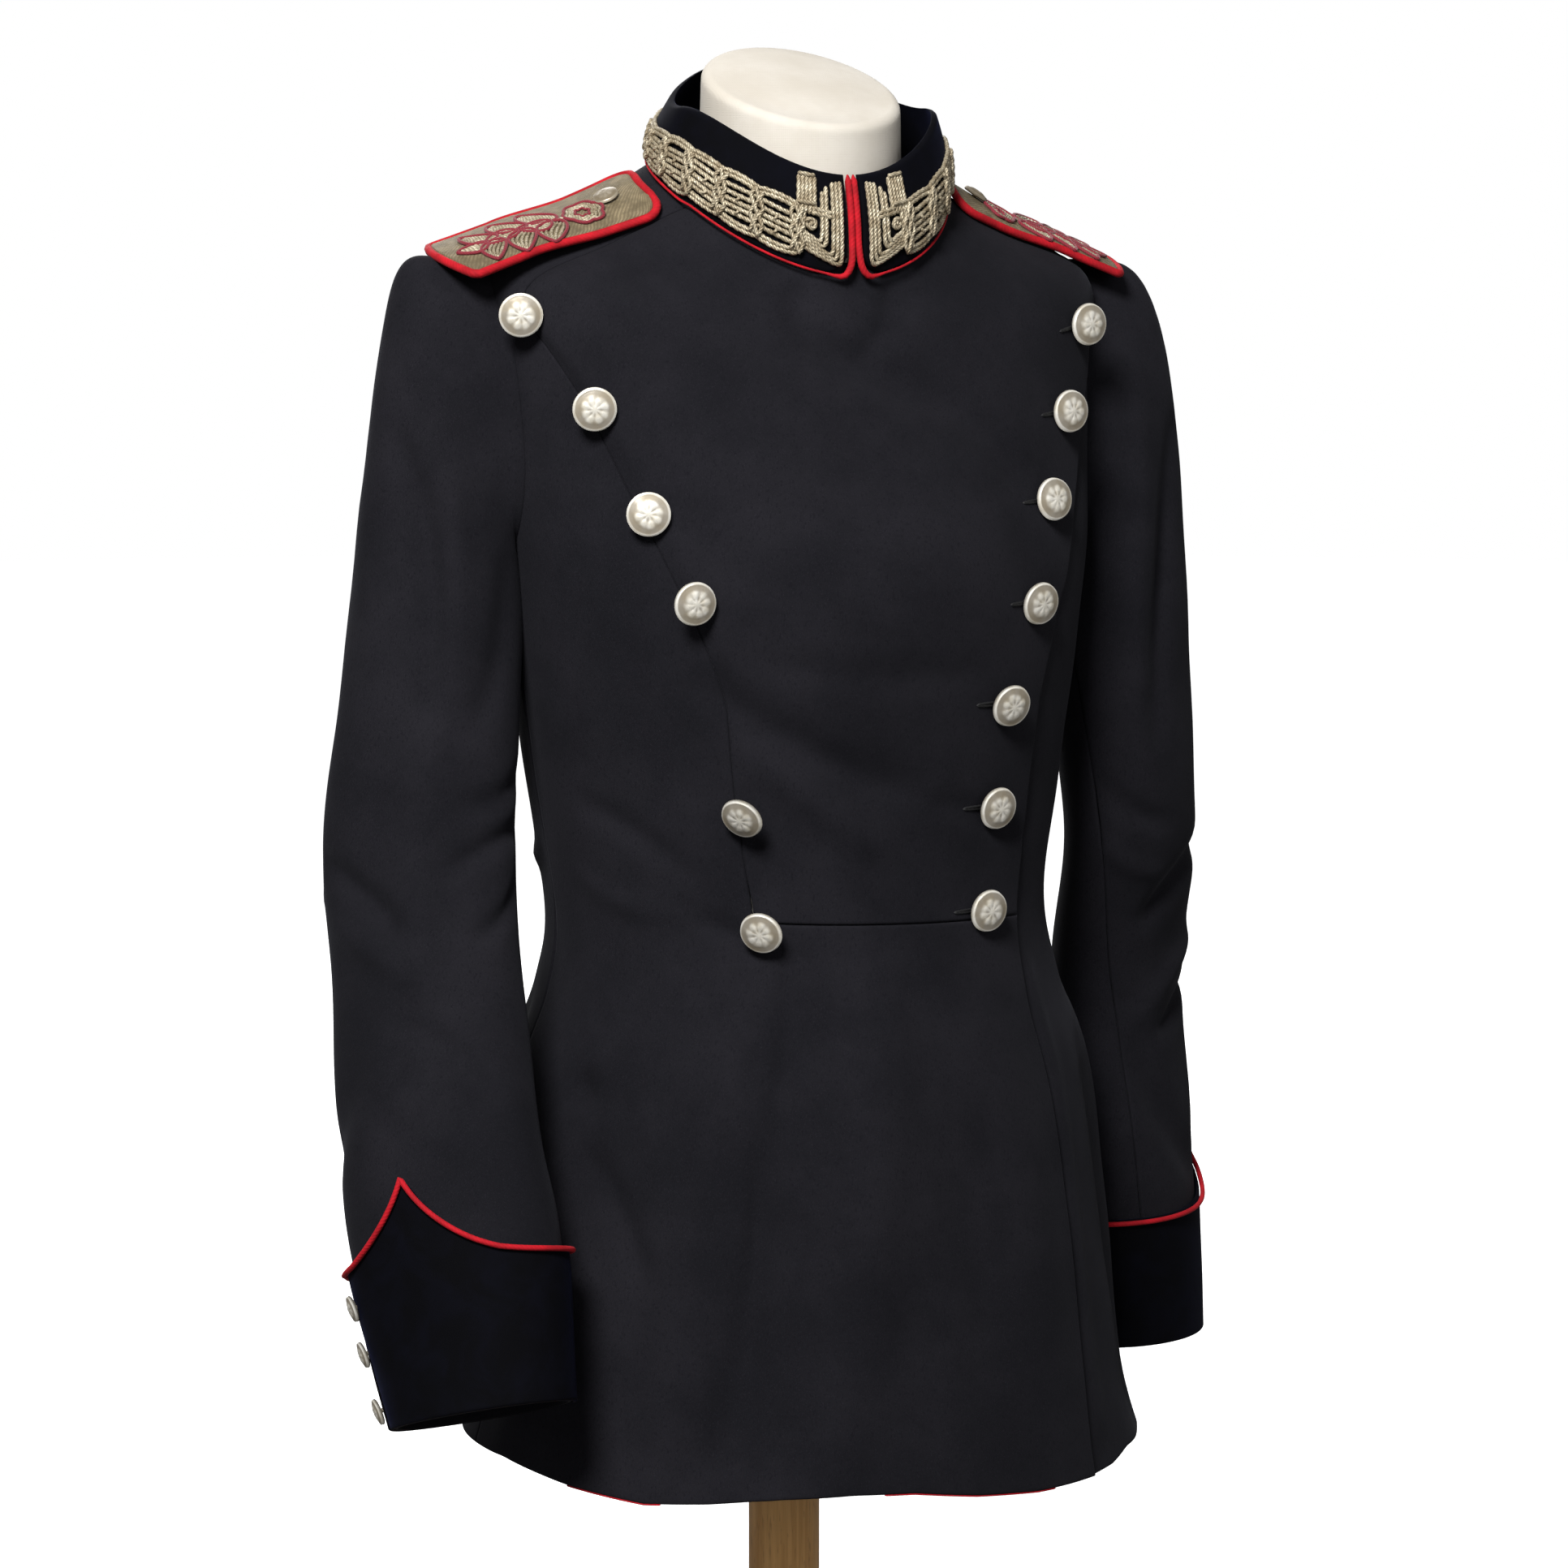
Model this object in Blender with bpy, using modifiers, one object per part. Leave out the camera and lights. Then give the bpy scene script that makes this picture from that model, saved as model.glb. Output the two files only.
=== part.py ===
"""Double-breasted uniform jacket on a limbless dress form with a tabletop stand.

Units are metres, +Z is up, the wearer faces -Y and +X is the wearer's left. The origin is the
centre of the foot's underside. Angles run round the wearer in degrees: 0 at the centre front,
90 at the wearer's left side, 180 at the centre back. A level is a row number of TORSO, and
fractions lie between two rows. Each cloth piece is an open surface, its inner face, thickened
outward.
"""

import math

import bmesh
import bpy
import numpy as np
from mathutils import Matrix, Vector

# Cloth and seams
WALL = 0.002
COLLAR_WALL = 0.003
TRIM_WALL = 0.0012
BOARD_WALL = 0.0035
GAP = 0.0004
CLEAR = 0.0008
SEAM_ANGLE = 0.1
LAYER = 0.0028
LAPEL_RAMP = 4.5
HEM_Z = 0.26
HEM_TILT = 0.010

# Stand
BASE_RADIUS = 0.15
BASE_HEIGHT = 0.024
POST_RADIUS = 0.0205
FORM_BOTTOM = 2.0

# Buttons
BUTTON_RADIUS = 0.0118
BUTTON_HEIGHT = 0.0085
SMALL_RADIUS = 0.0073
SMALL_HEIGHT = 0.0055
BUTTON_SIDES = 12

# Rings of the torso from the hem up, heights above the hem:
# front height, side height, back height, half width, front y, middle y, back y
TORSO = np.array([
    (0.005, 0.000, 0.000, 0.1975, -0.192, -0.028, 0.135),  # 0 hem
    (0.043, 0.043, 0.043, 0.1880, -0.186, -0.027, 0.131),
    (0.139, 0.139, 0.139, 0.1770, -0.170, -0.023, 0.123),
    (0.212, 0.212, 0.212, 0.1670, -0.157, -0.020, 0.116),  # 3 hip
    (0.260, 0.260, 0.260, 0.1500, -0.146, -0.017, 0.107),
    (0.305, 0.305, 0.305, 0.1435, -0.137, -0.015, 0.100),  # 5 waist
    (0.374, 0.374, 0.374, 0.1525, -0.136, -0.015, 0.103),
    (0.450, 0.450, 0.450, 0.1630, -0.143, -0.015, 0.106),
    (0.500, 0.510, 0.520, 0.1700, -0.142, -0.015, 0.105),  # 8 armpit
    (0.550, 0.560, 0.570, 0.1745, -0.125, -0.010, 0.108),
    (0.595, 0.618, 0.625, 0.1780, -0.108, -0.007, 0.104),
    (0.625, 0.658, 0.672, 0.1765, -0.097, -0.003, 0.095),  # 11 shoulder tip
    (0.640, 0.682, 0.696, 0.1250, -0.090, -0.003, 0.078),
    (0.653, 0.705, 0.719, 0.0780, -0.086, -0.014, 0.052),  # 13 neck seam
])
WAIST = 5
ARMPIT = 8
TIP = 11
NECK = 13
ARMHOLE_FRONT = 15.0
ARMHOLE_BACK = 26.0
ARMHOLE_STEPS = 8

# Main folds of the body: start angle and height, end angle and height, half width, depth outward
FOLDS = (
    (2.0, 0.605, 38.0, 0.560, 0.018, -0.0025),
    (-28.0, 0.435, 8.0, 0.385, 0.016, -0.0030),
    (-24.0, 0.392, -2.0, 0.345, 0.014, 0.0020),
    (-4.0, 0.270, -16.0, 0.020, 0.026, 0.0050),
    (-42.0, 0.200, -34.0, 0.060, 0.024, -0.0045),
    (24.0, 0.230, 27.0, 0.020, 0.026, 0.0035),
    (62.0, 0.210, 66.0, 0.010, 0.030, -0.0040),
    (-72.0, 0.230, -78.0, 0.020, 0.030, 0.0050),
    (128.0, 0.240, 122.0, 0.010, 0.034, 0.0060),
    (-128.0, 0.240, -124.0, 0.010, 0.034, 0.0055),
    (160.0, 0.220, 166.0, 0.010, 0.024, -0.0050),
    (-162.0, 0.230, -158.0, 0.010, 0.024, -0.0045),
)
ANGLE_METRES = 0.0026

# Front buttons from the top: level, angle and seat above the cloth
BUTTON_ROWS = {
    "r": (
        (10.58, -67.9, 0.0005),
        (9.58, -52.7, 0.0005),
        (8.54, -44.7, 0.0006),
        (7.66, -38.2, 0.0002),
        (6.68, -31.0, 0.0009),
        (5.98, -29.8, 0.0009),
        (5.06, -27.6, 0.0011),
    ),
    "l": (
        (10.48, 55.7, 0.0005),
        (9.48, 46.6, 0.0005),
        (8.58, 38.3, 0.0006),
        (7.52, 33.5, 0.0005),
        (6.65, 26.5, 0.0005),
        (5.91, 26.1, 0.0009),
        (5.10, 24.4, 0.0009),
    ),
}
MISSING_BUTTON = 5

# Free edge of the upper front on the wearer's left: level, angle
FREE_EDGE = (
    (0.0, 35.0),
    (5.07, 37.4),
    (5.91, 38.3),
    (6.66, 38.6),
    (7.56, 44.6),
    (8.54, 50.8),
    (9.53, 60.6),
    (10.50, 74.0),
    (11.20, 77.0),
    (13.00, 77.0),
)
SEAM_OUTSIDE_ROW = 2.0
WAIST_RISE = 0.10
WAIST_SEAM = 0.010
LAPEL_SEAM = 0.65

# Sleeve sections from the biceps to the wrist, heights above the hem:
# x, y, height, long half, short half, tilt in degrees with the front higher
SLEEVES = {
    "r": np.array([
        (0.214, 0.000, 0.454, 0.0480, 0.0420, 0.0),
        (0.2235, -0.014, 0.357, 0.0530, 0.0350, 3.0),
        (0.228, -0.037, 0.280, 0.0520, 0.0360, 8.0),
        (0.233, -0.070, 0.194, 0.0550, 0.0370, 14.0),
        (0.2315, -0.092, 0.138, 0.0570, 0.0380, 17.0),
        (0.231, -0.127, 0.059, 0.0465, 0.0360, 21.0),
    ]),
    "l": np.array([
        (0.214, 0.000, 0.450, 0.0480, 0.0420, 0.0),
        (0.228, 0.008, 0.330, 0.0530, 0.0350, 0.0),
        (0.2345, 0.034, 0.244, 0.0520, 0.0360, 0.0),
        (0.238, 0.034, 0.148, 0.0550, 0.0380, 3.0),
        (0.244, 0.032, 0.014, 0.0520, 0.0400, 5.0),
    ]),
}
SIDES = {"r": -1, "l": 1}
LONG_AXIS = 45.0
HIND_SEAM = 24.0
FORE_SEAM = -160.0
SLEEVE_SEAM = 0.25
HEAD_CLEAR = 0.0010
# Pull of the sleeve head away from the armhole and up from the biceps: top, sides, bottom
HEAD_REACH = {"r": (0.060, 0.025, 0.007), "l": (0.052, 0.027, 0.008)}
HEAD_DROP = {"r": (0.232, 0.080, 0.028), "l": (0.222, 0.066, 0.022)}
WRIST_TWIST = {"r": 0.0, "l": 64.0}

# Sleeve folds: start round and along, end round and along, half width, depth outward
SLEEVE_FOLDS = {
    "r": (
        (-30.0, 0.12, -70.0, 0.30, 0.016, -0.0035),
        (-52.0, 0.06, -60.0, 0.26, 0.014, 0.0025),
        (10.0, 0.28, -60.0, 0.34, 0.013, -0.0040),
        (-10.0, 0.33, -70.0, 0.37, 0.012, 0.0030),
        (-90.0, 0.36, -30.0, 0.44, 0.014, -0.0030),
    ),
    "l": (
        (-40.0, 0.10, -80.0, 0.28, 0.016, -0.0035),
        (-10.0, 0.34, -90.0, 0.38, 0.013, -0.0045),
        (-20.0, 0.40, -90.0, 0.44, 0.012, 0.0030),
        (-100.0, 0.46, -40.0, 0.54, 0.014, -0.0030),
    ),
}
ROUND_METRES = 0.00078

# Cuffs
CUFF_HEIGHT = 0.082
CUFF_PEAK = 0.050
CUFF_PEAK_ROUND = -41.0
CUFF_PEAK_SPREAD = 21.0
CUFF_PIPING = 0.0015
CUFF_BUTTON_UP = (0.016, 0.045, 0.066)

# Collar
RIM_HALF_WIDTH = 0.072
RIM_FRONT_Y = -0.086
RIM_MIDDLE_Y = -0.028
RIM_BACK_Y = 0.040
RIM_HEIGHTS = (0.709, 0.746, 0.774)
COLLAR_FRONT = 3.1
COLLAR_EDGE = 1.38
COLLAR_CLEAR = 0.0017
COLLAR_CORNER = ((0.0, 0.24), (3.0, 0.20), (6.0, 0.06), (11.0, 0.0))
COLLAR_BULGE = 0.003
COLLAR_PIPING = 0.0016
EMBROIDERY_END = 128.0
EMBROIDERY_LOW = 0.10
EMBROIDERY_TOP = 0.74

# Shoulder boards
BOARD_INNER = 12.66
BOARD_OUTER = 10.76
BOARD_LENGTH = 0.105
BOARD_RISE = 0.0080
BOARD_HALF = 0.0250
BOARD_CORNER = 0.014
BOARD_PIPING = 0.0024
BOARD_BUTTON = 0.018

# Neck of the form above the last torso ring:
# front height, back height, half width, front y, back y
NECK_RINGS = (
    (0.672, 0.722, 0.0610, -0.0780, 0.0410),
    (0.696, 0.742, 0.0560, -0.0790, 0.0360),
    (0.733, 0.776, 0.0545, -0.0795, 0.0345),
    (0.740, 0.783, 0.0480, -0.0730, 0.0290),
)
FORM_COLUMNS = 24

# Level and depth of the form below the cloth's inner face
INSET = ((10.3, 0.0055), (10.9, 0.0018), (12.3, 0.0018), (12.8, 0.0030))

COLOURS = {
    "wool": ((0.018, 0.017, 0.022), 0.92, 0.0),
    "velvet": ((0.003, 0.003, 0.009), 0.95, 0.0),
    "red": ((0.70, 0.012, 0.022), 0.80, 0.0),
    "lace": ((0.30, 0.24, 0.14), 0.60, 0.4),
    "silver": ((0.55, 0.52, 0.44), 0.38, 1.0),
    "canvas": ((0.88, 0.83, 0.74), 0.90, 0.0),
    "beech": ((0.62, 0.38, 0.18), 0.50, 0.0),
}


def clear_scene():
    for item in list(bpy.data.objects):
        bpy.data.objects.remove(item, do_unlink=True)


def collection(name):
    made = bpy.data.collections.new(name)
    bpy.context.scene.collection.children.link(made)
    return made


def material(name):
    found = bpy.data.materials.get(name)
    if found:
        return found
    colour, roughness, metallic = COLOURS[name]
    made = bpy.data.materials.new(name)
    made.use_nodes = True
    shader = made.node_tree.nodes["Principled BSDF"]
    shader.inputs["Base Color"].default_value = (*colour, 1.0)
    shader.inputs["Roughness"].default_value = roughness
    shader.inputs["Metallic"].default_value = metallic
    made.diffuse_color = (*colour, 1.0)
    return made


def add(name, data, finish):
    made = bpy.data.objects.new(name, data)
    made.data.materials.append(material(finish))
    bpy.data.collections["uniform_jacket"].objects.link(made)
    return made


def along(rows, place):
    """Smooth curve through the rows of a table, at a row number that may be a fraction."""
    last = len(rows) - 1
    first = min(max(int(math.floor(place)), 0), last - 1)
    f = place - first
    a, b, c, d = (rows[min(max(first + k, 0), last)] for k in (-1, 0, 1, 2))
    leave = (c - a) / 2
    arrive = (d - b) / 2
    return (
        b * (2 * f**3 - 3 * f**2 + 1)
        + leave * (f**3 - 2 * f**2 + f)
        + c * (3 * f**2 - 2 * f**3)
        + arrive * (f**3 - f**2)
    )


def fold_depth(folds, scale, angle, height):
    """Depth of all folds at a place, each a soft trough or ridge about its centre line."""
    total = 0.0
    place = np.array((angle * scale, height))
    for start_angle, start_height, end_angle, end_height, half_width, depth in folds:
        start = np.array((start_angle * scale, start_height))
        line = np.array((end_angle * scale, end_height)) - start
        share = min(max(float((place - start) @ line / (line @ line)), 0.0), 1.0)
        away = float(np.linalg.norm(place - start - share * line)) / half_width
        taper = 0.45 + 0.55 * math.sin(math.pi * share) ** 0.5
        total += depth * taper * math.exp(-away * away)
    return total


def bare_point(angle, level):
    """Inner face of the body's cloth without its folds. The skirt hangs lower on the left."""
    front_h, side_h, back_h, half, front_y, middle_y, back_y = along(TORSO, level)
    sine, cosine = math.sin(math.radians(angle)), math.cos(math.radians(angle))
    end_y = front_y if cosine > 0 else back_y
    slope, sag = (front_h - back_h) / 2, (front_h + back_h) / 2 - side_h
    tilt = HEM_TILT * (1 - min(level / WAIST, 1.0)) * sine
    return Vector((
        half * sine,
        middle_y + (end_y - middle_y) * abs(cosine),
        HEM_Z + side_h + slope * cosine + sag * cosine * cosine - tilt,
    ))


def outward(point, first, second, step_first=0.5, step_second=0.02):
    """Unit normal of a surface point(first, second)."""
    across = point(first + step_first, second) - point(first - step_first, second)
    up = point(first, second + step_second) - point(first, second - step_second)
    return across.cross(up).normalized()


def body_point(angle, level, lift=0.0):
    """Point of the body's cloth, lifted off its inner face."""
    place = bare_point(angle, level)
    turned = (angle + 180.0) % 360.0 - 180.0
    depth = fold_depth(FOLDS, ANGLE_METRES, turned, place.z - HEM_Z)
    return place + outward(bare_point, angle, level) * (lift + depth)


def armhole(level, half_width):
    """Half opening of the armhole in degrees at a level."""
    middle, half = (TIP + ARMPIT) / 2, (TIP - ARMPIT) / 2
    off = (level - middle) / half
    return half_width * math.sqrt(max(0.0, 1 - off * off))


def table(rows, place):
    return float(np.interp(place, [r[0] for r in rows], [r[1] for r in rows]))


def lapel_seam(level):
    """Angle of the seam that joins the upper front to the wearer's right front."""
    return table(tuple(reversed(BUTTON_ROWS["r"])), level) - SEAM_OUTSIDE_ROW


def free_edge(level):
    return table(FREE_EDGE, level)


def under_edge(level):
    """Hidden edge of the under front, inside the lapel seam."""
    return lapel_seam(level) + LAPEL_RAMP + 1.5


def waist_level(angle):
    """The waist seam runs a little higher under the first row than under the second."""
    share = (angle - lapel_seam(WAIST)) / (free_edge(WAIST) - lapel_seam(WAIST))
    return WAIST + WAIST_RISE * (1 - 1.3 * share)


def lapel_lift(angle, level):
    """The upper front leaves the seam at the under front's height and rises over it."""
    share = (angle - lapel_seam(level)) / LAPEL_RAMP
    share = min(max(share, 0.0), 1.0)
    return LAYER * share * share * (3 - 2 * share)


def sheet(name, rows, wall, finish):
    """Thickens a grid of points outward into one cloth piece. None leaves a hole in the grid."""
    mesh = bpy.data.meshes.new(name)
    shape = bmesh.new()
    corners = [[shape.verts.new(p) if p is not None else None for p in row] for row in rows]
    for low, high in zip(corners, corners[1:]):
        for k in range(len(low) - 1):
            ring = (low[k], low[k + 1], high[k + 1], high[k])
            if None not in ring:
                shape.faces.new(ring)
    loose = [v for v in shape.verts if not v.link_faces]
    bmesh.ops.delete(shape, geom=loose, context="VERTS")
    shape.to_mesh(mesh)
    shape.free()
    mesh.shade_smooth()
    made = add(name, mesh, finish)
    solid = made.modifiers.new("thickness", "SOLIDIFY")
    solid.thickness = wall
    solid.offset = 1.0
    return made


def closed_loft(name, rings, finish):
    """Solid between closed rings, capped at both ends."""
    mesh = bpy.data.meshes.new(name)
    shape = bmesh.new()
    corners = [[shape.verts.new(p) for p in ring] for ring in rings]
    for low, high in zip(corners, corners[1:]):
        for k in range(len(low)):
            after = (k + 1) % len(low)
            shape.faces.new((low[k], low[after], high[after], high[k]))
    shape.faces.new(list(reversed(corners[0])))
    shape.faces.new(corners[-1])
    shape.to_mesh(mesh)
    shape.free()
    mesh.shade_smooth()
    mesh.set_sharp_from_angle(angle=math.radians(40))
    return add(name, mesh, finish)


def tube(name, points, radius, finish, cyclic=False, resolution=1):
    """Round cord through the points."""
    curve = bpy.data.curves.new(name, "CURVE")
    curve.dimensions = "3D"
    line = curve.splines.new("POLY")
    line.points.add(len(points) - 1)
    for target, place in zip(line.points, points):
        target.co = (*place, 1.0)
    line.use_cyclic_u = cyclic
    line.use_smooth = True
    curve.bevel_depth = radius
    curve.bevel_resolution = resolution
    curve.use_fill_caps = not cyclic
    return add(name, curve, finish)


def disc(name, radius, height, finish, sides, place):
    """Upright cylinder that stands on place."""
    shape = bmesh.new()
    bmesh.ops.create_cone(
        shape, cap_ends=True, segments=sides, radius1=radius, radius2=radius, depth=height
    )
    bmesh.ops.translate(shape, verts=shape.verts, vec=(0, 0, height / 2))
    mesh = bpy.data.meshes.new(name)
    shape.to_mesh(mesh)
    shape.free()
    made = add(name, mesh, finish)
    made.location = place
    return made


def levels(low, high, step):
    return list(np.linspace(low, high, max(1, round((high - low) / step)) + 1))


def body_levels():
    """Levels of the body's rows: even along the skirt, and even round the armhole's edge."""
    middle, half = (TIP + ARMPIT) / 2, (TIP - ARMPIT) / 2
    hole = [
        middle - half * math.cos(math.pi * k / ARMHOLE_STEPS) for k in range(ARMHOLE_STEPS + 1)
    ]
    return levels(0, WAIST, 0.625) + levels(WAIST, ARMPIT, 0.5)[1:-1] + hole + levels(TIP, NECK, 0.5)[1:]


def side_front(level):
    return 90.0 - armhole(level, ARMHOLE_FRONT)


def side_back(level):
    return 90.0 + armhole(level, ARMHOLE_BACK)


def spread(first, last, columns):
    return list(np.linspace(first + SEAM_ANGLE, last - SEAM_ANGLE, columns + 1))


def shared_angles(level):
    """Columns that the upper and the under front share, so that their faces stay parallel."""
    return list(np.linspace(under_edge(level), free_edge(level), 10))


def over_angles(level):
    """Columns of the upper front: two over its rise at the seam, then the shared ones."""
    seam = lapel_seam(level)
    return [seam + SEAM_ANGLE, seam + LAPEL_RAMP / 2, seam + LAPEL_RAMP] + shared_angles(level)


def make_fronts():
    rows = []
    for level in body_levels():
        side = spread(-side_front(level), lapel_seam(level), 7)
        row = [body_point(angle, level) for angle in side]
        skirt = over_angles(level)[1:]
        if level < WAIST:
            row += [body_point(angle, level, lapel_lift(angle, level)) for angle in skirt]
        elif level == WAIST:
            row[-1] = body_point(side[-1], waist_level(side[-1]))
            row += [body_point(a, waist_level(a), lapel_lift(a, level)) for a in skirt]
        else:
            row += [None] * len(skirt)
        rows.append(row)
    sheet("right_front", rows, WALL, "wool")

    rows = []
    for level in (k for k in body_levels() if k >= WAIST):
        row = []
        for angle in [lapel_seam(level) + LAPEL_SEAM] + over_angles(level)[1:]:
            raised = waist_level(angle) + WAIST_SEAM if level == WAIST else level
            row.append(body_point(angle, raised, lapel_lift(angle, level)))
        rows.append(row)
    sheet("right_lapel", rows, WALL, "wool")

    rows = []
    for level in body_levels():
        past = np.linspace(free_edge(level), side_front(level) - SEAM_ANGLE, 4)
        angles = shared_angles(level) + list(past)[1:]
        rows.append([body_point(angle, level) for angle in angles])
    sheet("left_front", rows, WALL, "wool")


def make_backs():
    for name, start, end in (
        ("back_left", side_back, lambda level: 180.0),
        ("back_right", lambda level: 180.0, lambda level: 360.0 - side_back(level)),
    ):
        rows = [
            [body_point(angle, level) for angle in spread(start(level), end(level), 8)]
            for level in body_levels()
        ]
        sheet(name, rows, WALL, "wool")


def head_blend(values, around):
    """Value at the top, the front or back, and the bottom of the sleeve head, blended round it."""
    top, side, bottom = values
    cosine = math.cos(math.radians(around))
    return side + ((top - side) if cosine > 0 else (bottom - side)) * cosine * cosine


def section_point(side, around, place):
    """Point of the sleeve's own sections, from place 0 at the biceps to the wrist."""
    x, y, height, long_half, short_half, tilt = along(SLEEVES[side], place)
    turn = math.radians(around - LONG_AXIS)
    far, near = long_half * math.cos(turn), short_half * math.sin(turn)
    axis = math.radians(LONG_AXIS)
    out = far * math.cos(axis) - near * math.sin(axis)
    back = far * math.sin(axis) + near * math.cos(axis)
    rise = -back * math.tan(math.radians(tilt))
    return Vector((SIDES[side] * (x + out), y + back, HEM_Z + height + rise))


def head_point(side, around):
    """Point of the sleeve's edge, just outside the armhole's edge."""
    middle, half = (TIP + ARMPIT) / 2, (TIP - ARMPIT) / 2
    turn = math.radians(around)
    level = middle + half * math.cos(turn)
    half_width = ARMHOLE_FRONT if math.sin(turn) < 0 else ARMHOLE_BACK
    angle = 90.0 + half_width * math.sin(turn)
    return body_point(SIDES[side] * angle, level, WALL + HEAD_CLEAR)


def bare_sleeve_point(side, around, place):
    """Inner face of a sleeve: place 0 at the armhole, 1 at the biceps, then on to the wrist."""
    if place >= 1.0:
        return section_point(side, around, place - 1.0)
    start, end = head_point(side, around), section_point(side, around, 0.0)
    down = (end - section_point(side, around, 0.25)).normalized()
    reach = Vector((SIDES[side] * head_blend(HEAD_REACH[side], around), 0, 0))
    before = end + down * head_blend(HEAD_DROP[side], around)
    f = place
    return (
        start * (1 - f) ** 3
        + (start + reach) * 3 * f * (1 - f) ** 2
        + before * 3 * f * f * (1 - f)
        + end * f**3
    )


def sleeve_point(side, around, place, lift=0.0):
    place = min(max(place, 0.0), len(SLEEVES[side]))
    point = bare_sleeve_point(side, around, place)
    ahead = bare_sleeve_point(side, around + 1.0, place) - bare_sleeve_point(side, around - 1.0, place)
    low = min(place + 0.02, len(SLEEVES[side]))
    down = bare_sleeve_point(side, around, low) - bare_sleeve_point(side, around, low - 0.04)
    normal = down.cross(ahead).normalized() * SIDES[side]
    turned = (around + 180.0) % 360.0 - 180.0
    if place < 0.15:
        depth = 0.0
    else:
        top = HEM_Z + TORSO[TIP][1]
        depth = fold_depth(SLEEVE_FOLDS[side], ROUND_METRES, turned, top - point.z)
    return point + normal * (lift + depth)


def place_above_wrist(side, distance):
    """Sleeve place that lies a distance up from the wrist."""
    rows = SLEEVES[side]
    lengths = np.linalg.norm(np.diff(rows[:, :3], axis=0), axis=1)
    from_wrist = np.concatenate([[0.0], np.cumsum(lengths[::-1])])
    return len(rows) - float(np.interp(distance, from_wrist, np.arange(len(rows))))


def cuff_top(around):
    """Height of the cuff's upper edge above the wrist: flat, with one peak between hollow curves."""
    away = abs((around - CUFF_PEAK_ROUND + 180.0) % 360.0 - 180.0)
    return CUFF_HEIGHT + CUFF_PEAK * math.exp(-away / CUFF_PEAK_SPREAD)


def arounds(first, last, columns, side):
    angles = np.linspace(first, last, columns + 1)
    return angles if SIDES[side] > 0 else angles[::-1]


def twist(side, place):
    """How far the sleeve's seams have turned toward the back, in degrees."""
    share = min(max(place / len(SLEEVES[side]), 0.0), 1.0)
    return WRIST_TWIST[side] * share * share * (3 - 2 * share)


def make_sleeves():
    for side in SIDES:
        end = len(SLEEVES[side])
        places = [0.0, 0.1, 0.22, 0.36, 0.5, 0.66, 0.83]
        places += levels(1.0, end - 1, 0.5) + [end - 0.67, end - 0.33, end]
        for name, first, last, columns in (
            ("sleeve_under_", HIND_SEAM + SLEEVE_SEAM, 360.0 + FORE_SEAM - SLEEVE_SEAM, 10),
            ("sleeve_top_", FORE_SEAM + SLEEVE_SEAM, HIND_SEAM - SLEEVE_SEAM, 10),
        ):
            turn = arounds(first, last, columns, side)
            rows = [
                [sleeve_point(side, around + twist(side, place), place) for around in turn]
                for place in reversed(places)
            ]
            sheet(name + side, rows, WALL, "wool")


def cuff_point(side, around, distance, lift):
    """Point over the sleeve's end, a distance up from the wrist."""
    place = place_above_wrist(side, distance)
    return sleeve_point(side, around + twist(side, place), place, lift)


def make_cuffs():
    lift = WALL + CLEAR
    for side in SIDES:
        under = np.linspace(HIND_SEAM + SLEEVE_SEAM, 360.0 + FORE_SEAM, 11)
        over = np.linspace(360.0 + FORE_SEAM, 360.0 + HIND_SEAM - SLEEVE_SEAM, 11)
        turn = list(under) + list(over)[1:]
        if SIDES[side] < 0:
            turn.reverse()
        rows = [
            [cuff_point(side, around, share * cuff_top(around), lift) for around in turn]
            for share in (0.0, 0.34, 0.67, 1.0)
        ]
        sheet("cuff_" + side, rows, WALL, "velvet")
        above = lift + WALL + 2 * GAP + CUFF_PIPING
        line = [
            cuff_point(side, around, cuff_top(around) - CUFF_PIPING, above)
            for around in np.linspace(HIND_SEAM, HIND_SEAM + 360.0, 30, endpoint=False)
        ]
        tube("cuff_piping_" + side, line, CUFF_PIPING, "red", cyclic=True)


def collar_lift(angle):
    """The neckline is thicker where both fronts lie under the collar."""
    turned = (angle + 180.0) % 360.0 - 180.0
    if turned > 0:
        share = min(max((84.0 - turned) / 6.0, 0.0), 1.0)
    else:
        share = min(max((turned + 72.0) / 6.0, 0.0), 1.0)
    return WALL + COLLAR_CLEAR + LAYER * share


def collar_point(angle, height, lift=0.0):
    """Inner face of the collar, from height 0 at the neck seam to 1 at the rim."""
    base = bare_point(angle, NECK) + outward(bare_point, angle, NECK) * collar_lift(angle)
    sine, cosine = math.sin(math.radians(angle)), math.cos(math.radians(angle))
    front_h, side_h, back_h = RIM_HEIGHTS
    end_h, end_y = (front_h, RIM_FRONT_Y) if cosine > 0 else (back_h, RIM_BACK_Y)
    rim = Vector((
        RIM_HALF_WIDTH * sine,
        RIM_MIDDLE_Y + (end_y - RIM_MIDDLE_Y) * abs(cosine),
        HEM_Z + side_h + (end_h - side_h) * cosine * cosine,
    ))
    out = Vector((sine, -cosine, 0.0))
    return base.lerp(rim, height) + out * (lift + COLLAR_BULGE * math.sin(math.pi * height))


def collar_low(angle):
    """Lower end of the collar's height: its two front corners are rounded."""
    turned = abs((angle + 180.0) % 360.0 - 180.0)
    return table(COLLAR_CORNER, turned)


def collar_angles():
    """Columns of one half of the collar, closer at the front corner."""
    return [COLLAR_FRONT, 5.0, 8.0, 12.0] + list(np.linspace(12.0, 180.0, 15))[1:]


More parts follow.
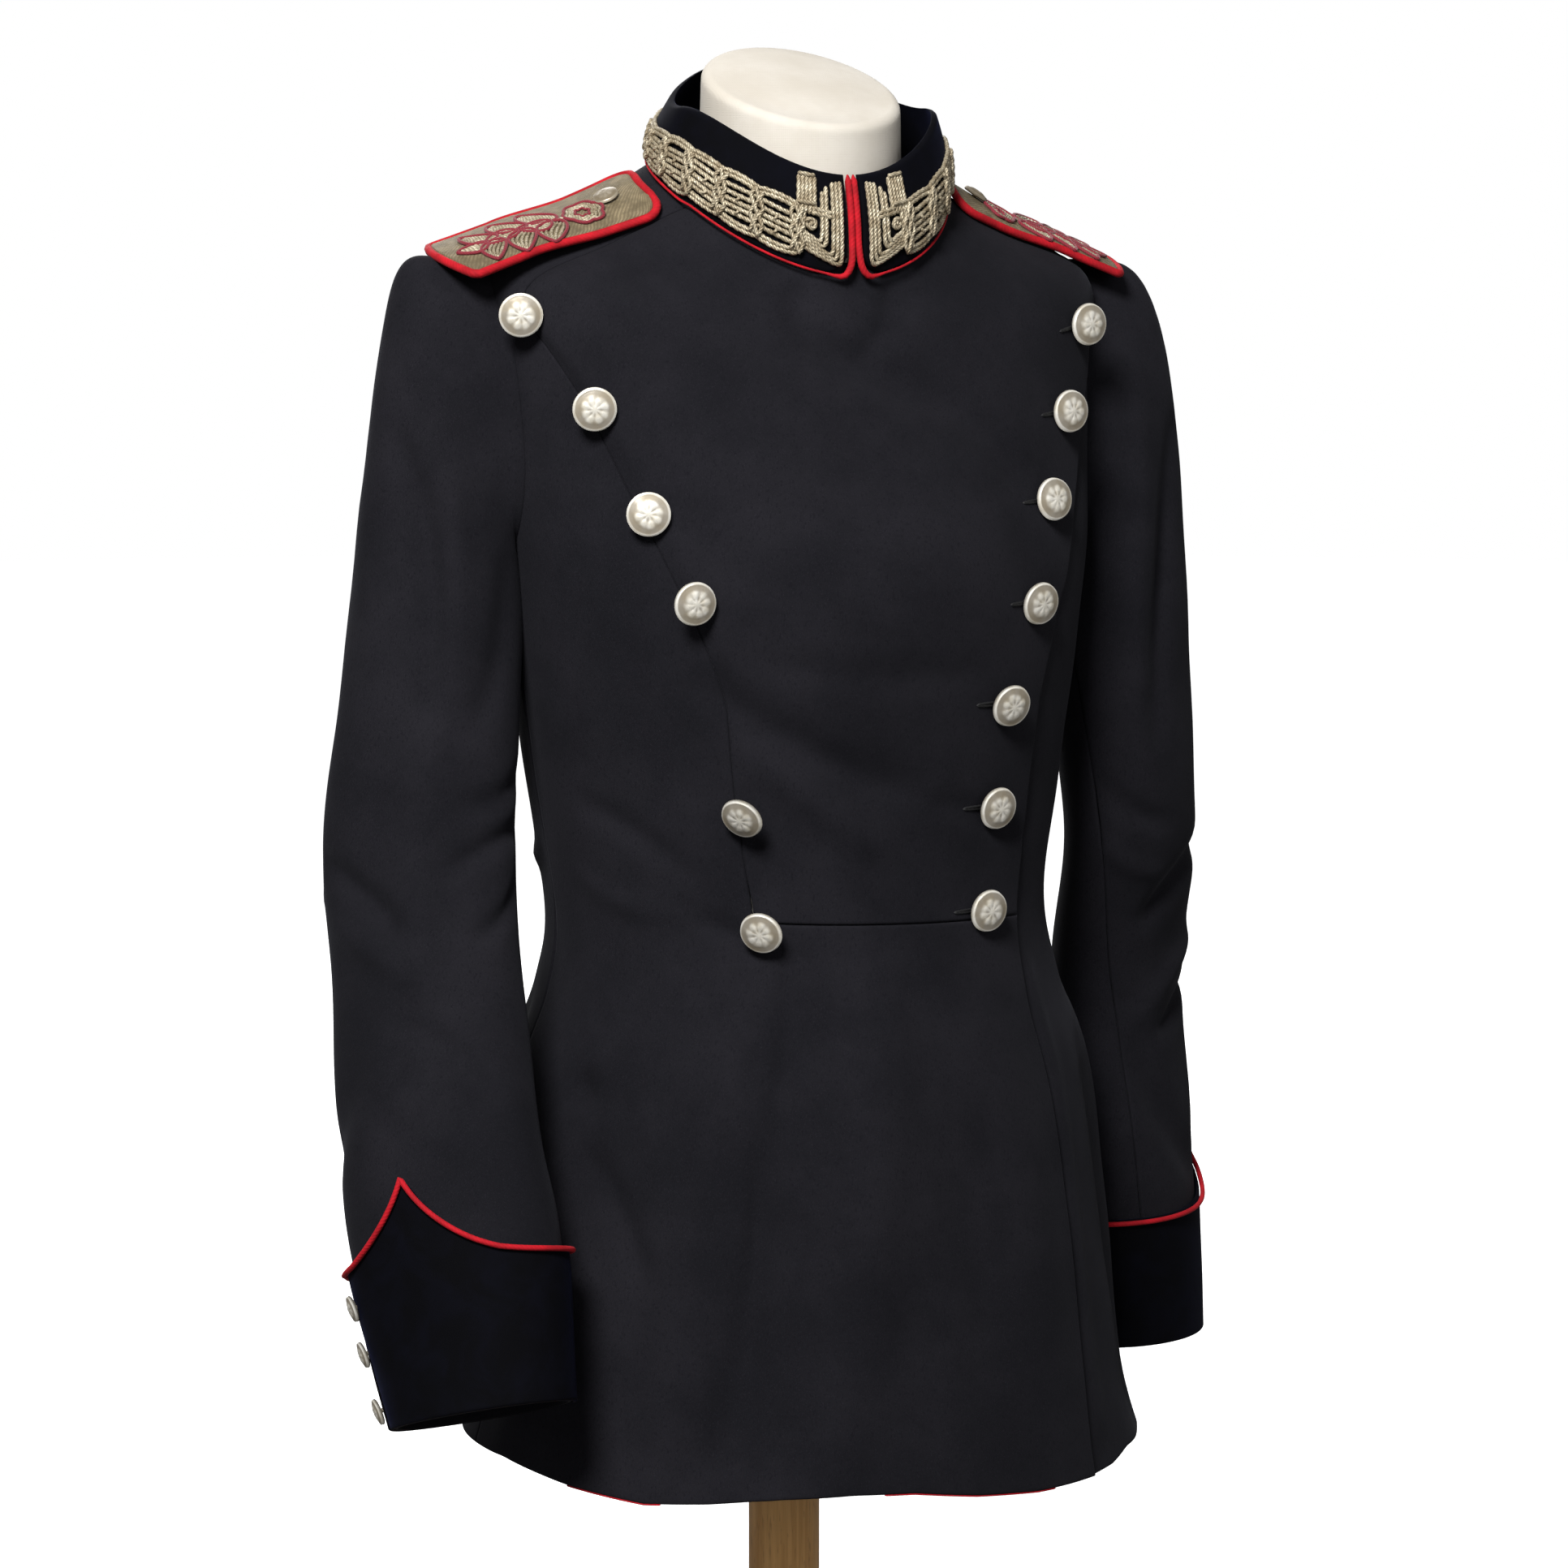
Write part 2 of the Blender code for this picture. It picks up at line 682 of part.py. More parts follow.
def make_collar():
    turned = collar_angles()
    angles = turned + [360.0 - angle for angle in reversed(turned[:-1])]
    rows = []
    for share in (0.0, 0.33, 0.67, 1.0):
        row = []
        for angle in angles:
            low = collar_low(angle)
            row.append(collar_point(angle, low + (1.0 - low) * share))
        rows.append(row)
    sheet("collar", rows, COLLAR_WALL, "velvet")


def make_collar_trim():
    lift = COLLAR_WALL + CLEAR + GAP
    for side, sign in SIDES.items():
        angles = [sign * angle for angle in collar_angles() if 7.0 < angle < EMBROIDERY_END]
        if sign < 0:
            angles.reverse()
        rows = [
            [collar_point(angle, height, lift) for angle in angles]
            for height in np.linspace(EMBROIDERY_LOW, EMBROIDERY_TOP, 4)
        ]
        sheet("collar_embroidery_" + side, rows, TRIM_WALL, "lace")
        middle = COLLAR_WALL / 2
        edge = COLLAR_EDGE
        line = [collar_point(sign * edge, height, middle) for height in (1.0, 0.75, 0.5, 0.3)]
        line += [
            collar_point(sign * angle, height, COLLAR_WALL + out)
            for angle, height, out in (
                (edge + 0.2, 0.17, 0.000),
                (edge + 1.6, 0.05, 0.0010),
                (6.0, -0.03, COLLAR_PIPING + GAP),
            )
        ]
        line += [
            collar_point(sign * angle, 0.0, COLLAR_WALL + COLLAR_PIPING + GAP)
            for angle in np.linspace(12.0, 177.5, 18)
        ]
        tube("collar_piping_" + side, line, COLLAR_PIPING, "red")


def shoulder_point(angle, level, lift):
    """Point over the shoulder, carried straight on past the shoulder tip."""
    straight = TIP + 0.25
    if level >= straight:
        return body_point(angle, level, lift)
    edge = body_point(angle, straight, lift)
    return edge + (edge - body_point(angle, straight + 0.25, lift)) * ((straight - level) / 0.25)


def board_point(side, out, back, lift=0.0):
    """Point of a shoulder board, metres out from its inner end and back from its middle."""
    share = out / BOARD_LENGTH
    level = BOARD_INNER + (BOARD_OUTER - BOARD_INNER) * share
    near = min(max(level, TIP + 0.25), NECK)
    half_depth = (along(TORSO, near)[6] - along(TORSO, near)[4]) / 2
    if side == "l":
        base = WALL + LAYER + CLEAR + GAP
    else:
        base = WALL + 2 * CLEAR + LAYER * min(1.0, max(0.0, 1.4 * share))
    base += BOARD_RISE * max(0.0, share) ** 2
    angle = 90.0 + math.degrees(back / half_depth)
    return shoulder_point(SIDES[side] * angle, level, base + lift)


def board_half(out, extra=0.0):
    """Half width of the board's outline, grown by extra, with rounded corners at its inner end."""
    radius = BOARD_CORNER + extra
    inside = max(0.0, radius - (out + extra))
    return BOARD_HALF + extra - radius + math.sqrt(max(0.0, radius * radius - inside * inside))


def make_boards():
    for side, sign in SIDES.items():
        outs = [0.0, 0.004, BOARD_CORNER] + list(np.linspace(BOARD_CORNER, BOARD_LENGTH, 6))[1:]
        across = np.linspace(-1.0, 1.0, 5) * sign
        rows = [
            [board_point(side, out, part * board_half(out)) for part in across]
            for out in reversed(outs)
        ]
        sheet("board_" + side, rows, BOARD_WALL, "lace")
        away = BOARD_PIPING + CLEAR
        over = BOARD_WALL / 2
        end = BOARD_LENGTH + away
        path = [-away, 0.004 - away] + outs[2:]
        front = [(out, -board_half(out, away)) for out in path]
        outer = [(end, -BOARD_HALF), (end, 0.0), (end, BOARD_HALF)]
        back = [(out, board_half(out, away)) for out in reversed(path)]
        line = [board_point(side, out, part, over) for out, part in front + outer + back]
        tube("board_piping_" + side, line, BOARD_PIPING, "red", cyclic=True)
        seat = board_point(side, BOARD_BUTTON, 0.0, BOARD_WALL + CLEAR)
        normal = outward(bare_point, sign * 90.0, TIP + 1.2)
        make_button("board_button_" + side, seat, normal, SMALL_RADIUS, SMALL_HEIGHT)


def make_button(name, place, normal, radius, height):
    """Domed button with a flat back, turned about its own axis."""
    profile = (
        (0.0, height),
        (radius * 0.50, height * 0.86),
        (radius * 0.85, height * 0.52),
        (radius, height * 0.20),
        (radius * 0.93, 0.0),
        (0.0, 0.0),
    )
    mesh = bpy.data.meshes.new(name)
    mesh.from_pydata([(x, 0, z) for x, z in profile], [(k, k + 1) for k in range(5)], [])
    made = add(name, mesh, "silver")
    turned = made.modifiers.new("turned", "SCREW")
    turned.steps = BUTTON_SIDES
    turned.render_steps = BUTTON_SIDES
    turned.use_merge_vertices = True
    turned.merge_threshold = 0.00001
    spin = normal.to_track_quat("Z", "Y").to_matrix().to_4x4()
    made.matrix_world = Matrix.Translation(place) @ spin
    return made


def make_front_buttons():
    for side, row in BUTTON_ROWS.items():
        for number, (level, angle, seat) in enumerate(row, 1):
            if side == "r" and number == MISSING_BUTTON:
                continue
            place = body_point(angle, level, LAYER + WALL + seat)
            normal = outward(bare_point, angle, level)
            make_button(f"button_{side}_{number}", place, normal, BUTTON_RADIUS, BUTTON_HEIGHT)


def make_cuff_buttons():
    for side in SIDES:
        for number, up in enumerate(reversed(CUFF_BUTTON_UP), 1):
            around = HIND_SEAM - 7.0
            seat = cuff_point(side, around, up, 2 * WALL + CLEAR + GAP)
            normal = (seat - cuff_point(side, around, up, 0.0)).normalized()
            make_button(f"cuff_button_{side}_{number}", seat, normal, SMALL_RADIUS, SMALL_HEIGHT)


def form_inset(level):
    """The form touches the cloth at the shoulders and stays clear of it below."""
    return -table(INSET, level)


def make_form():
    turn = np.arange(FORM_COLUMNS) * 360.0 / FORM_COLUMNS
    rings = []
    for level in levels(FORM_BOTTOM, 8.0, 0.5) + levels(8.6, 11.0, 0.6) + [11.4, 11.8, 12.3, 12.8]:
        inset = form_inset(level)
        rings.append([
            bare_point(angle, level) + outward(bare_point, angle, level) * inset for angle in turn
        ])
    for point in rings[0]:
        point.z = HEM_Z + TORSO[int(FORM_BOTTOM)][1]
    for front_h, back_h, half, front_y, back_y in NECK_RINGS:
        middle_y, depth = (front_y + back_y) / 2, (back_y - front_y) / 2
        ring = []
        for angle in np.radians(turn):
            y = middle_y - depth * math.cos(angle)
            height = front_h + (back_h - front_h) * (y - front_y) / (back_y - front_y)
            ring.append(Vector((half * math.sin(angle), y, HEM_Z + height)))
        rings.append(ring)
    closed_loft("dress_form", rings, "canvas")


def make_stand():
    disc("stand_base", BASE_RADIUS, BASE_HEIGHT, "beech", 48, (0, 0, 0))
    bottom = HEM_Z + TORSO[int(FORM_BOTTOM)][1]
    length = bottom - BASE_HEIGHT - 2 * GAP
    disc("stand_post", POST_RADIUS, length, "beech", 32, (0, 0, BASE_HEIGHT + GAP))


def main():
    clear_scene()
    collection("uniform_jacket")
    make_fronts()
    make_backs()
    make_sleeves()
    make_cuffs()
    make_collar()
    make_collar_trim()
    make_boards()
    make_front_buttons()
    make_cuff_buttons()
    make_form()
    make_stand()


main()
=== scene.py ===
"""Looks of a double-breasted uniform jacket on its dress form.

Metres, +Z up, in the frame's own axes: the wearer faces -Y and +X is the wearer's left. Angles
run round the wearer in degrees, 0 at the centre front, 90 at the wearer's left side and 180 at
the centre back. A level is a row number of TORSO. Round a sleeve the angle is 0 on its outer
side, -90 in front, 90 behind and 180 on its inner side, and a place is 0 at the armhole, 1 at
the biceps and goes on to the wrist. Each cloth piece is a thin closed shell on the form that its
solid has, on a finer grid and with its smaller folds.
"""

import math

import bpy
import numpy as np
from mathutils import Matrix, Vector
from mathutils.kdtree import KDTree


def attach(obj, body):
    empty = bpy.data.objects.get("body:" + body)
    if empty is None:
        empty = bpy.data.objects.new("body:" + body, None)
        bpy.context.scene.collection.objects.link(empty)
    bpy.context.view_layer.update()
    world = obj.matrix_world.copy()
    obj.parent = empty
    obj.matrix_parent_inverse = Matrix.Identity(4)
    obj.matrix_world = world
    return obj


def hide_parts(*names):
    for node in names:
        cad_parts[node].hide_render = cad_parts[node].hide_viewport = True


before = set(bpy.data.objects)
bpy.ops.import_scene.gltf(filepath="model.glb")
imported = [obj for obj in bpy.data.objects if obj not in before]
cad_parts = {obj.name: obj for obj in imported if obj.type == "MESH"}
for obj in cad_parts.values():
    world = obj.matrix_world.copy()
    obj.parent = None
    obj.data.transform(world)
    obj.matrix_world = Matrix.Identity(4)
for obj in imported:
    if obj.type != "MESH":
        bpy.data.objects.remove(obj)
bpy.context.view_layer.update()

# Cloth and seams
WALL = 0.002
COLLAR_WALL = 0.003
BOARD_WALL = 0.0035
GAP = 0.0004
CLEAR = 0.0008
SEAM_ANGLE = 0.04
LAYER = 0.0028
LAPEL_RAMP = 4.5
HEM_Z = 0.26
HEM_TILT = 0.010
# How much lower the hem hangs at an angle, in metres
HEM_HANG = (
    (-180.0, 0.0), (-130.0, 0.0020), (-90.0, -0.0028), (-78.0, -0.0036), (-62.0, 0.0030),
    (-47.0, 0.0072), (-36.0, 0.0046), (-24.0, 0.0), (-13.0, -0.0023), (-3.0, -0.0018), (8.0, 0.0027),
    (20.0, 0.0054), (35.0, 0.0052), (43.0, 0.0034), (50.0, -0.0020), (64.0, -0.0010), (120.0, 0.0020),
    (180.0, 0.0),
)
HEM_HANG_HEIGHT = 0.10
CELL = 0.004
EDGE_STEPS = (0.0005, 0.0013, 0.0026)
EDGE_ROUND = 0.0015
EDGE_START = 0.45

# Rings of the torso from the hem up, heights above the hem:
# front height, side height, back height, half width, front y, middle y, back y
TORSO = np.array([
    (0.005, 0.000, 0.000, 0.1975, -0.192, -0.028, 0.135),  # 0 hem
    (0.043, 0.043, 0.043, 0.1880, -0.186, -0.027, 0.131),
    (0.139, 0.139, 0.139, 0.1770, -0.170, -0.023, 0.123),
    (0.212, 0.212, 0.212, 0.1670, -0.157, -0.020, 0.116),  # 3 hip
    (0.260, 0.260, 0.260, 0.1500, -0.146, -0.017, 0.107),
    (0.305, 0.305, 0.305, 0.1435, -0.137, -0.015, 0.100),  # 5 waist
    (0.374, 0.374, 0.374, 0.1525, -0.136, -0.015, 0.103),
    (0.450, 0.450, 0.450, 0.1630, -0.143, -0.015, 0.106),
    (0.500, 0.510, 0.520, 0.1700, -0.142, -0.015, 0.105),  # 8 armpit
    (0.550, 0.560, 0.570, 0.1745, -0.125, -0.010, 0.108),
    (0.595, 0.618, 0.625, 0.1780, -0.108, -0.007, 0.104),
    (0.625, 0.658, 0.672, 0.1765, -0.097, -0.003, 0.095),  # 11 shoulder tip
    (0.640, 0.682, 0.696, 0.1250, -0.090, -0.003, 0.078),
    (0.653, 0.705, 0.719, 0.0780, -0.086, -0.014, 0.052),  # 13 neck seam
])
WAIST = 5
ARMPIT = 8
TIP = 11
NECK = 13
ARMHOLE_FRONT = 15.0
ARMHOLE_BACK = 26.0

# Folds of the body: start angle and height, end angle and height, half width, depth outward,
# sideways bend of the line. Angles are in degrees, the rest in millimetres, heights above the hem.
FOLDS = (
    # chest
    (-12, 612, 30, 545, 11.8, -5.2, 14),
    (-17, 646, -3, 606, 6.7, -4, 0),
    (12, 646, 0, 610, 6, -3.6, 0),
    (-34, 585, -12, 540, 14.8, 2.6, -8),
    (-54, 560, -30, 500, 13.3, -2.3, 6),
    (28, 520, 44, 470, 11.8, -2.6, -6),
    # waist
    (-36, 440, 4, 380, 11.1, -5.2, -7),
    (-24, 400, -2, 350, 9.6, 3.2, -4),
    (-24, 452, 18, 443, 8.9, -2, -4),
    (-29, 362, -27, 324, 6, -3.8, 2),
    (-41, 312, -31, 299, 6, -2.9, 1),
    (10, 372, 36, 348, 7.4, -2.3, 3),
    (-70, 372, -44, 338, 7.4, -2.9, 4),
    (-74, 330, -52, 316, 6, 2, -3),
    # skirt in front
    (-4, 270, -16, 20, 19.2, 7.2, 4),
    (-22, 288, -35, 30, 9.6, -5.8, 5),
    (-68, 224, -63, 212, 8.9, -4.9, 0),
    (-61, 182, -50, 122, 8.1, -5.2, 3),
    (-48, 200, -44, 50, 13.3, 3.2, 4),
    (42, 268, 40, 20, 8.1, 3.8, -4),
    (24, 230, 27, 20, 19.2, 4.3, 3),
    (8, 190, 12, 60, 11.8, -2.6, 4),
    (62, 210, 66, 10, 19.2, -6.1, 6),
    (78, 240, 82, 30, 13.3, 4.3, -4),
    (-72, 180, -78, 20, 19.2, 7.2, 5),
    # back of the waist and the skirt
    (128, 240, 122, 10, 22.2, 8.7, 6),
    (-128, 240, -124, 10, 22.2, 8, -6),
    (160, 220, 166, 10, 16.3, -7.2, 4),
    (-162, 230, -158, 10, 16.3, -6.5, -3),
    (106, 250, 104, 60, 11.8, -3.8, 3),
    (-104, 244, -108, 40, 13.3, -4.1, -4),
    (142, 382, 168, 350, 8.9, -3.8, -4),
    (-146, 388, -166, 342, 7.4, -4.3, 4),
    (112, 402, 148, 420, 9.6, -2.9, 5),
    (-110, 410, -140, 428, 8.9, -3.2, -4),
    (100, 330, 130, 346, 6.7, 2.3, 3),
    (-98, 338, -134, 330, 6.7, 2.6, 3),
    # shoulder blades
    (128, 640, 150, 560, 14.8, -3.8, 8),
    (-126, 645, -154, 550, 13.3, -3.5, -7),
    (120, 560, 124, 480, 10.4, -4.1, 5),
    (-121, 566, -122, 474, 9.6, -4.3, -4),
)
FOLD_UNITS = (1.0, 0.001, 1.0, 0.001, 0.001, 0.001, 0.001)
ANGLE_METRES = 0.0026
# Slow unevenness of hung cloth: waves per metre across, waves per metre up, phase, depth
WANDER = (
    (3.1, 2.3, 0.4, 0.00050),
    (-5.3, 4.1, 1.9, 0.00042),
    (7.9, -6.7, 3.1, 0.00030),
    (-11.0, -13.0, 5.0, 0.00018),
    (17.0, 9.0, 0.8, 0.00012),
)

# Front buttons from the top: level, angle, lean of the face down and toward the centre in degrees
BUTTON_ROWS = {
    "r": (
        (10.58, -67.9, 8, 30),
        (9.58, -52.7, 12, 18),
        (8.54, -44.7, 10, 12),
        (7.66, -38.2, 6, 30),
        (6.68, -31.0, 0, 0),
        (5.98, -29.8, 27, -24),
        (5.06, -27.6, 22, -18),
    ),
    "l": (
        (10.48, 55.7, 8, 26),
        (9.48, 46.6, 9, 20),
        (8.58, 38.3, 9, 16),
        (7.52, 33.5, 7, 14),
        (6.65, 26.5, 8, 13),
        (5.91, 26.1, 7, 9),
        (5.10, 24.4, 9, 10),
    ),
}
MISSING_BUTTON = 5
BUTTON_RADIUS = 0.0118
BUTTON_DEPTH = 0.0052
BUTTON_STAND = 0.0030
SMALL_RADIUS = 0.0073
SMALL_DEPTH = 0.0036
SMALL_STAND = 0.0016
BUTTON_PETALS = 8
BUTTONHOLE = 0.021
HEM_THREAD = 0.0005
HEM_THREADS = ((-62.0, -44.0), (-8.0, 24.0))
THREAD = 0.0008
# Buttons' sides, their back and shank as shares of radius and depth, and small clearances
BUTTON_SIDES = 48
BUTTON_BACK = ((1.00, 0.26), (0.97, 0.14), (0.90, 0.06), (0.55, 0.0), (0.20, 0.0), (0.17, -0.04))
SHANK_CLEAR = 0.0002
LEAN_CLEAR = 0.0006
TOUCH = 0.0001
CUFF_BUTTON_LEAN = (8.0, 3.0)

# Free edge of the upper front on the wearer's left: level, angle
FREE_EDGE = (
    (0.0, 35.0), (5.07, 37.4), (5.91, 38.3), (6.66, 38.6), (7.56, 44.6),
    (8.54, 50.8), (9.53, 60.6), (10.50, 74.0), (11.20, 77.0), (13.00, 77.0),
)
SEAM_OUTSIDE_ROW = 2.0
WAIST_RISE = 0.10
WAIST_SEAM = 0.010
WAIST_BLEND = 0.6
NECK_RISE = 0.008

# Sleeve sections from the biceps to the wrist, heights above the hem:
# x, y, height, long half, short half, tilt in degrees with the front higher
SLEEVES = {
    "r": np.array([
        (0.2095, 0.000, 0.454, 0.0480, 0.0400, 0.0),
        (0.2235, -0.014, 0.357, 0.0530, 0.0350, 3.0),
        (0.228, -0.037, 0.280, 0.0520, 0.0360, 8.0),
        (0.233, -0.070, 0.194, 0.0550, 0.0370, 14.0),
        (0.2315, -0.092, 0.138, 0.0570, 0.0380, 17.0),
        (0.231, -0.127, 0.059, 0.0465, 0.0360, 21.0),
    ]),
    "l": np.array([
        (0.2120, 0.000, 0.450, 0.0480, 0.0400, 0.0),
        (0.228, 0.008, 0.330, 0.0530, 0.0350, 0.0),
        (0.2345, 0.034, 0.244, 0.0520, 0.0360, 0.0),
        (0.238, 0.034, 0.148, 0.0550, 0.0380, 3.0),
        (0.244, 0.032, 0.014, 0.0520, 0.0400, 5.0),
    ]),
}
SIDES = {"r": -1, "l": 1}
LONG_AXIS = 45.0
HIND_SEAM = 24.0
FORE_SEAM = -160.0
SLEEVE_SEAM = 0.15
HEAD_SINK = 0.0012
HEAD_REACH = {"r": (0.060, 0.025, 0.007), "l": (0.052, 0.027, 0.008)}
HEAD_DROP = {"r": (0.262, 0.080, 0.028), "l": (0.235, 0.066, 0.022)}
WRIST_TWIST = {"r": 0.0, "l": 64.0}

# Sleeve folds: start round and drop below the shoulder tip, end round and drop, half width,
# depth outward, sideways bend, in the same units
SLEEVE_FOLDS = {
    "r": (
        (-34, 90, -66, 235, 7.4, -5.5, 10),
        (-52, 60, -76, 220, 8.9, 3.5, 8),
        (-66, 240, -16, 455, 9.6, 3.5, 10),
        (10, 320, -50, 352, 7.4, -6.4, 5),
        (-4, 352, -60, 378, 8.1, 3.8, 3),
        (-50, 396, -96, 432, 7.4, -4.3, 4),
        (-30, 420, -84, 462, 8.9, 2.3, -3),
        (-150, 272, -92, 284, 6, -3.8, 3),
        (-152, 300, -86, 316, 6, -4.6, -4),
        (-146, 330, -100, 352, 6, -3.5, 2),
        (-120, 160, -100, 240, 8.9, -3.5, 4),
        (30, 110, 62, 230, 10.4, -4.3, -8),
        (50, 300, 100, 330, 7.4, -4.3, 4),
        (40, 340, 96, 362, 6.7, 3.5, 3),
        (60, 400, 110, 440, 8.9, -3.8, 5),
        (0, 440, 40, 480, 8.9, -2.6, 3),
        (-8, 60, -14, 200, 14.8, 2, 4),
    ),
    "l": (
        (-40, 95, -84, 270, 7.4, -5.5, 8),
        (-58, 60, -98, 240, 8.9, 3.2, 6),
        (-10, 340, -90, 380, 8.1, -6.7, 6),
        (-20, 400, -90, 440, 8.1, 4.3, 4),
        (0, 425, -70, 452, 6, -5.5, 3),
        (-100, 460, -40, 540, 9.6, -4.6, 4),
        (-128, 300, -80, 322, 6, -4.1, 3),
        (-130, 336, -84, 352, 6, 2.6, 3),
        (26, 120, 66, 250, 10.4, -4.1, -8),
        (40, 330, 96, 372, 8.1, -4.9, 5),
        (46, 390, 104, 410, 7.4, 3.5, 3),
        (70, 460, 120, 500, 8.9, -4.1, 4),
        (-10, 520, 40, 560, 8.9, -2.6, 4),
    ),
}
ROUND_METRES = 0.00078

# Cuffs
CUFF_HEIGHT = 0.082
CUFF_PEAK = 0.050
CUFF_PEAK_ROUND = -41.0
CUFF_PEAK_SPREAD = 21.0
CUFF_PIPING = 0.0015
CUFF_BUTTON_UP = (0.016, 0.045, 0.066)
CUFF_BUTTON_ROUND = 7.0

# Collar
RIM_HALF_WIDTH = 0.072
RIM_FRONT_Y = -0.086
RIM_MIDDLE_Y = -0.028
RIM_BACK_Y = 0.040
RIM_HEIGHTS = (0.709, 0.746, 0.774)
COLLAR_FRONT = 3.1
COLLAR_EDGE = 1.28
COLLAR_CLEAR = 0.0017
COLLAR_CORNER = ((0.0, 0.24), (3.0, 0.20), (6.0, 0.06), (11.0, 0.0))
COLLAR_BULGE = 0.003
COLLAR_PIPING = 0.0019
FOOT_PIPING = 0.0007

# Couched metal cord on the collar: along the collar from its front edge in metres, and heights
# as shares of the collar's height
EMBROIDERY_END = 134.0
CORD = 0.00125
CORD_PITCH = 0.0023
BLOCK = (0.0042, 0.0285)
BLOCK_HEIGHTS = (0.10, 0.93)
BAND_START = 0.0290
UNIT = 0.0215
BAND_LOW = 0.150
BAND_HIGH = 0.585
BAND_LINES = (0.222, 0.290, 0.358, 0.426, 0.494)
STRAND_TURN = 0.0046
STRAND_DEPTH = 0.16
CORD_STEP = 0.0008

# Shoulder boards
BOARD_INNER = 12.66
BOARD_OUTER = 10.76
BOARD_LENGTH = 0.105
BOARD_RISE = {"r": 0.0072, "l": 0.0028}
BOARD_HALF = 0.0250
BOARD_CORNER = 0.014
BOARD_PIPING = 0.0024
BOARD_BUTTON = 0.018
# Leaves of the board's spray: root out from the inner end, root aside, heading, length, half width
LEAVES = (
    (0.048, -0.007, 50.0, 0.025, 0.0066),
    (0.048, -0.009, -50.0, 0.024, 0.0066),
    (0.052, -0.008, 3.0, 0.018, 0.0058),
    (0.064, -0.007, 52.0, 0.024, 0.0060),
    (0.064, -0.009, -52.0, 0.023, 0.0060),
    (0.069, -0.008, -4.0, 0.018, 0.0056),
    (0.079, -0.007, 50.0, 0.021, 0.0052),
    (0.079, -0.009, -50.0, 0.020, 0.0052),
    (0.085, -0.008, 2.0, 0.015, 0.0046),
)
ROSETTE = (0.034, 0.0112, -0.008)
# Radii of the boards' cords, the step along them, and the spray's stem as out and back
OUTLINE_CORD = 0.0010
EYE_CORD = 0.0007
FILL_CORD = 0.0009
BOARD_CORD_STEP = 0.0009
STEM = ((0.044, -0.008), (0.066, -0.008), (0.086, -0.008))

# Neck of the form above the last torso ring:
# front height, back height, half width, front y, back y
NECK_RINGS = np.array([
    (0.672, 0.722, 0.0610, -0.0780, 0.0410),
    (0.696, 0.742, 0.0560, -0.0790, 0.0360),
    (0.731, 0.774, 0.0545, -0.0795, 0.0345),
])
NECK_EDGE = 0.0060
NECK_DOME = 0.0035
INSET = ((10.3, 0.0086), (10.9, 0.0056), (12.3, 0.0046), (12.8, 0.0030))
FORM_BOTTOM = 2.0
FORM_COLUMNS = 96
FORM_BOTTOM_Z = HEM_Z + TORSO[int(FORM_BOTTOM)][1]

# Stand
BASE_RADIUS = 0.15
BASE_HEIGHT = 0.024
POST_RADIUS = 0.0205
BASE_ROUND = 0.006
BASE_UNDER_ROUND = 0.0015

# Name endings of the cloth pieces, by cloth
CLOTH_NAMES = {"wool": "_cloth", "velvet": "_velvet", "metal_lace": "_lace"}

# Camera, solved from the photograph
CAMERA_AZIMUTH = -24.0
CAMERA_DISTANCE = 2.4
CAMERA_HEIGHT = 0.96
CAMERA_PITCH = -7.9
CAMERA_LENS = 98.0

# Studio: floor and dome, and the lights' places, targets, sizes and powers
DOME_RADIUS = 9.0
DOME_SIDES = 96
LIGHTS = {
    "key": ((-1.50, -1.75, 2.60), (0.0, 0.0, 0.84), 1.0, 128.0),
    "fill": ((0.5, -2.9, 1.6), (0.0, 0.0, 0.5), 2.0, 10.0),
    "back": ((0.6, 2.6, 2.0), (0.0, 0.0, 0.6), 2.0, 45.0),
}


def smooth(share):
    share = np.clip(share, 0.0, 1.0)
    return share * share * (3 - 2 * share)


def along(rows, place):
    """Smooth curve through the rows of a table, at row numbers that may be fractions."""
    place = np.asarray(place, float)
    last = len(rows) - 1
    first = np.clip(np.floor(place), 0, last - 1).astype(int)
    f = (place - first)[..., None]
    a, b, c, d = (rows[np.clip(first + k, 0, last)] for k in (-1, 0, 1, 2))
    return (
        b * (2 * f**3 - 3 * f**2 + 1)
        + (c - a) / 2 * (f**3 - 2 * f**2 + f)
        + c * (3 * f**2 - 2 * f**3)
        + (d - b) / 2 * (f**3 - f**2)
    )


def table(rows, place):
    return np.interp(place, [r[0] for r in rows], [r[1] for r in rows])


def unit(vectors):
    return vectors / np.linalg.norm(vectors, axis=-1, keepdims=True)


def radians_of(angle):
    return np.radians(np.asarray(angle, float))


def turned(angle):
    return (np.asarray(angle, float) + 180.0) % 360.0 - 180.0


def lengths_along(points):
    """Distance of each point from the first one, along the line through them."""
    return np.concatenate([[0.0], np.cumsum(np.linalg.norm(np.diff(points, axis=0), axis=1))])


